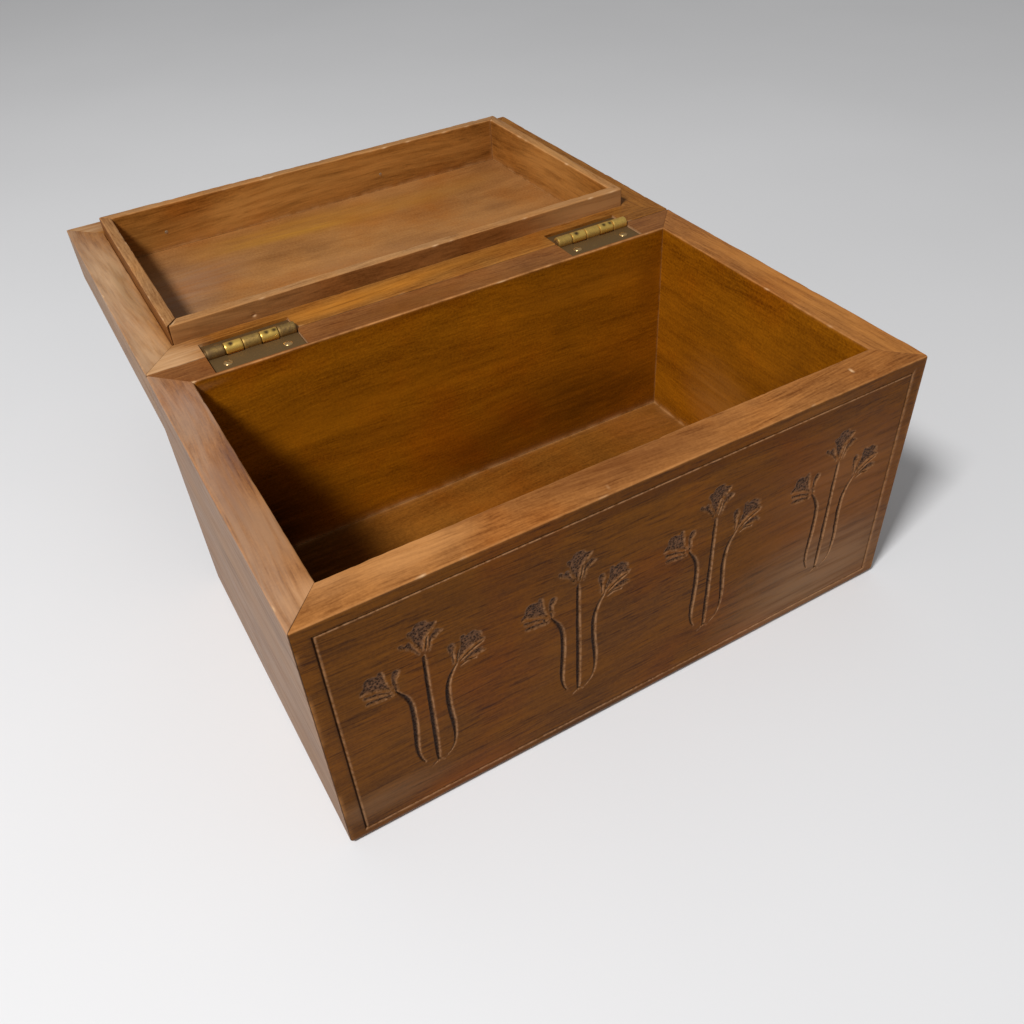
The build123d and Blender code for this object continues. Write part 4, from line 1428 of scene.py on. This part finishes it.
class KEEPSAKE_OT_screws(bpy.types.Operator):
    """Set the slotted screws in the leaves and the brads in the lip"""

    bl_idname = "keepsake.screws"
    bl_label = "Screws and brads"

    def execute(self, context):
        settings = context.scene.keepsake_metal
        low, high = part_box("left_box_screws")
        head, shank, reach, rise = (high.y - low.y) / 2, 0.9 * MM, high.z - low.z, settings.head_rise
        dome = [(head * math.sin(a), rise * math.cos(a) - 0.02 * MM) for a in np.radians(range(0, 91, 15))]
        screw = lathe("screw", dome + [(shank, -LEAF), (shank, -reach + 1 * MM), (0, -reach)], 32)
        slot = finished("slot", *box_mesh((-head, -settings.slot_width / 2, rise - settings.slot_depth),
                                          (head, settings.slot_width / 2, 2 * rise)))
        cut = screw.modifiers.new("Slot", "BOOLEAN")
        cut.operation, cut.solver, cut.object = "DIFFERENCE", "EXACT", slot
        screw = plain(screw, "screw")
        brass = metal("Screw brass", settings.screw, settings.tarnished, 0.3)
        for body in ("box", "lid"):
            nodes = [f"{hinge}_{body}_screws" for hinge in HINGES]
            points = []
            for node in nodes:
                low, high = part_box(node)
                points += [(x, (low.y + high.y) / 2, high.z) for x in (low.x + head, high.x - head)]
            piece = set_on_points(f"{body}_leaf_screws", screw, points, (0, 0, 0), brass, math.pi,
                                  settings.seed + len(body))
            dress(piece, body, "screw_brass", brass, *nodes)
        steel = metal("Brad steel", settings.steel, (0.05, 0.035, 0.025), 0.4)
        low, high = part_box("lip_brads")
        radius, crown = mm(0.7, 0.12)
        dome = [(radius * math.sin(a), crown * math.cos(a)) for a in np.radians(range(0, 91, 30))]
        brad = lathe("brad", dome + [(radius, -10.5 * MM), (0, -11 * MM)], 16)
        rows = []
        for face_y, turn in ((LIP.y1 - LIP.end, math.pi / 2), (LIP.y0 + LIP.end, -math.pi / 2)):
            places = [(x, face_y, (low.z + high.z) / 2) for x in (low.x + radius, high.x - radius)]
            rows.append(set_on_points("brads", brad, places, (turn, 0, 0), steel))
        dress(joined("lip_brads_worn", rows), "lid", "brad_steel", steel, "lip_brads")
        for helper in (slot, screw, brad):
            bpy.data.objects.remove(helper)
        return {"FINISHED"}


class KEEPSAKE_OT_stage(bpy.types.Operator):
    """Set the floor, the lamps and the camera"""

    bl_idname = "keepsake.stage"
    bl_label = "Stage"

    def execute(self, context):
        scene, settings = context.scene, context.scene.keepsake_stage
        reach = 6.0
        mesh = bpy.data.meshes.new("floor")
        mesh.from_pydata([(-reach, -reach, 0), (reach, -reach, 0), (reach, reach, 0), (-reach, reach, 0)], [],
                         [(0, 1, 2, 3)])
        material, graph, place = new_material("Pale floor")
        cloud = graph.noise(place, 3, 3)
        shade = graph.blend(graph.remap(cloud, 0.3, 0.7), tuple(0.94 * c for c in settings.floor),
                            settings.floor)
        close_material(graph, {"Base Color": shade, "Roughness": 0.7}, cloud, 0.2 * MM)
        mesh.materials.append(material)
        floor = linked("floor", mesh)

        world = bpy.data.worlds.new("Studio")
        world.use_nodes = True
        graph = Graph(world.node_tree)
        light = graph.add("ShaderNodeBackground", {"Color": (1, 1, 1, 1), "Strength": settings.sky})
        graph.add("ShaderNodeOutputWorld", {"Surface": light.outputs[0]})
        scene.world = world

        lamp = bpy.data.lights.new("Key", "AREA")
        lamp.energy, lamp.size = settings.key_power, settings.key_size
        key = linked("Key", lamp)
        key.location = settings.key_place
        middle = Vector((0, (BOX.y0 + LID.y1) / 2, BOX.z1 / 2))
        key.rotation_euler = (Vector(settings.key_place) - middle).to_track_quat("Z", "Y").to_euler()

        lens = bpy.data.cameras.new("Camera")
        lens.lens, lens.sensor_width, lens.clip_start = settings.lens, 36.0, 0.01
        sine, cosine = math.sin(settings.heading), math.cos(settings.heading)
        level_share = math.cos(settings.dip)
        forward = Vector((sine * level_share, cosine * level_share, -math.sin(settings.dip)))
        level = Vector((cosine, -sine, 0))
        right = math.cos(settings.roll) * level - math.sin(settings.roll) * level.cross(forward)
        turn = Matrix((right, right.cross(forward), -forward)).transposed()
        scene.camera = linked("Camera", lens)
        scene.camera.matrix_world = Matrix.Translation(settings.camera_place) @ turn.to_4x4()
        scene.view_settings.view_transform = "Standard"
        return {"FINISHED"}


# ---------------------------------------------------------------- the add-on

STEPS = (
    KEEPSAKE_OT_carved_front, KEEPSAKE_OT_walls, KEEPSAKE_OT_lid, KEEPSAKE_OT_lip, KEEPSAKE_OT_hinges,
    KEEPSAKE_OT_screws, KEEPSAKE_OT_stage,
)
GROUPS = {
    "keepsake_wood": KeepsakeWood, "keepsake_carving": KeepsakeCarving, "keepsake_metal": KeepsakeMetal,
    "keepsake_stage": KeepsakeStage,
}


class KEEPSAKE_PT_panel(bpy.types.Panel):
    """Lists the steps that build the keepsake box"""

    bl_label = "Keepsake box"
    bl_idname = "KEEPSAKE_PT_panel"
    bl_space_type = "VIEW_3D"
    bl_region_type = "UI"
    bl_category = "Keepsake"

    def draw(self, context):
        for step in STEPS:
            self.layout.operator(step.bl_idname)
        for group in GROUPS:
            settings = getattr(context.scene, group)
            column = self.layout.column()
            for name in settings.__annotations__:
                column.prop(settings, name)


def register():
    """Registers the settings, the steps and the panel."""
    for cls in (*GROUPS.values(), *STEPS, KEEPSAKE_PT_panel):
        bpy.utils.register_class(cls)
    for name, cls in GROUPS.items():
        setattr(bpy.types.Scene, name, PointerProperty(type=cls))


def unregister():
    """Takes everything that register added away again."""
    for name in GROUPS:
        delattr(bpy.types.Scene, name)
    for cls in reversed((*GROUPS.values(), *STEPS, KEEPSAKE_PT_panel)):
        bpy.utils.unregister_class(cls)


def main():
    """Registers the add-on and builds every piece."""
    register()
    for step in STEPS:
        getattr(bpy.ops.keepsake, step.bl_idname.split(".")[1])()


if __name__ == "__main__":
    main()
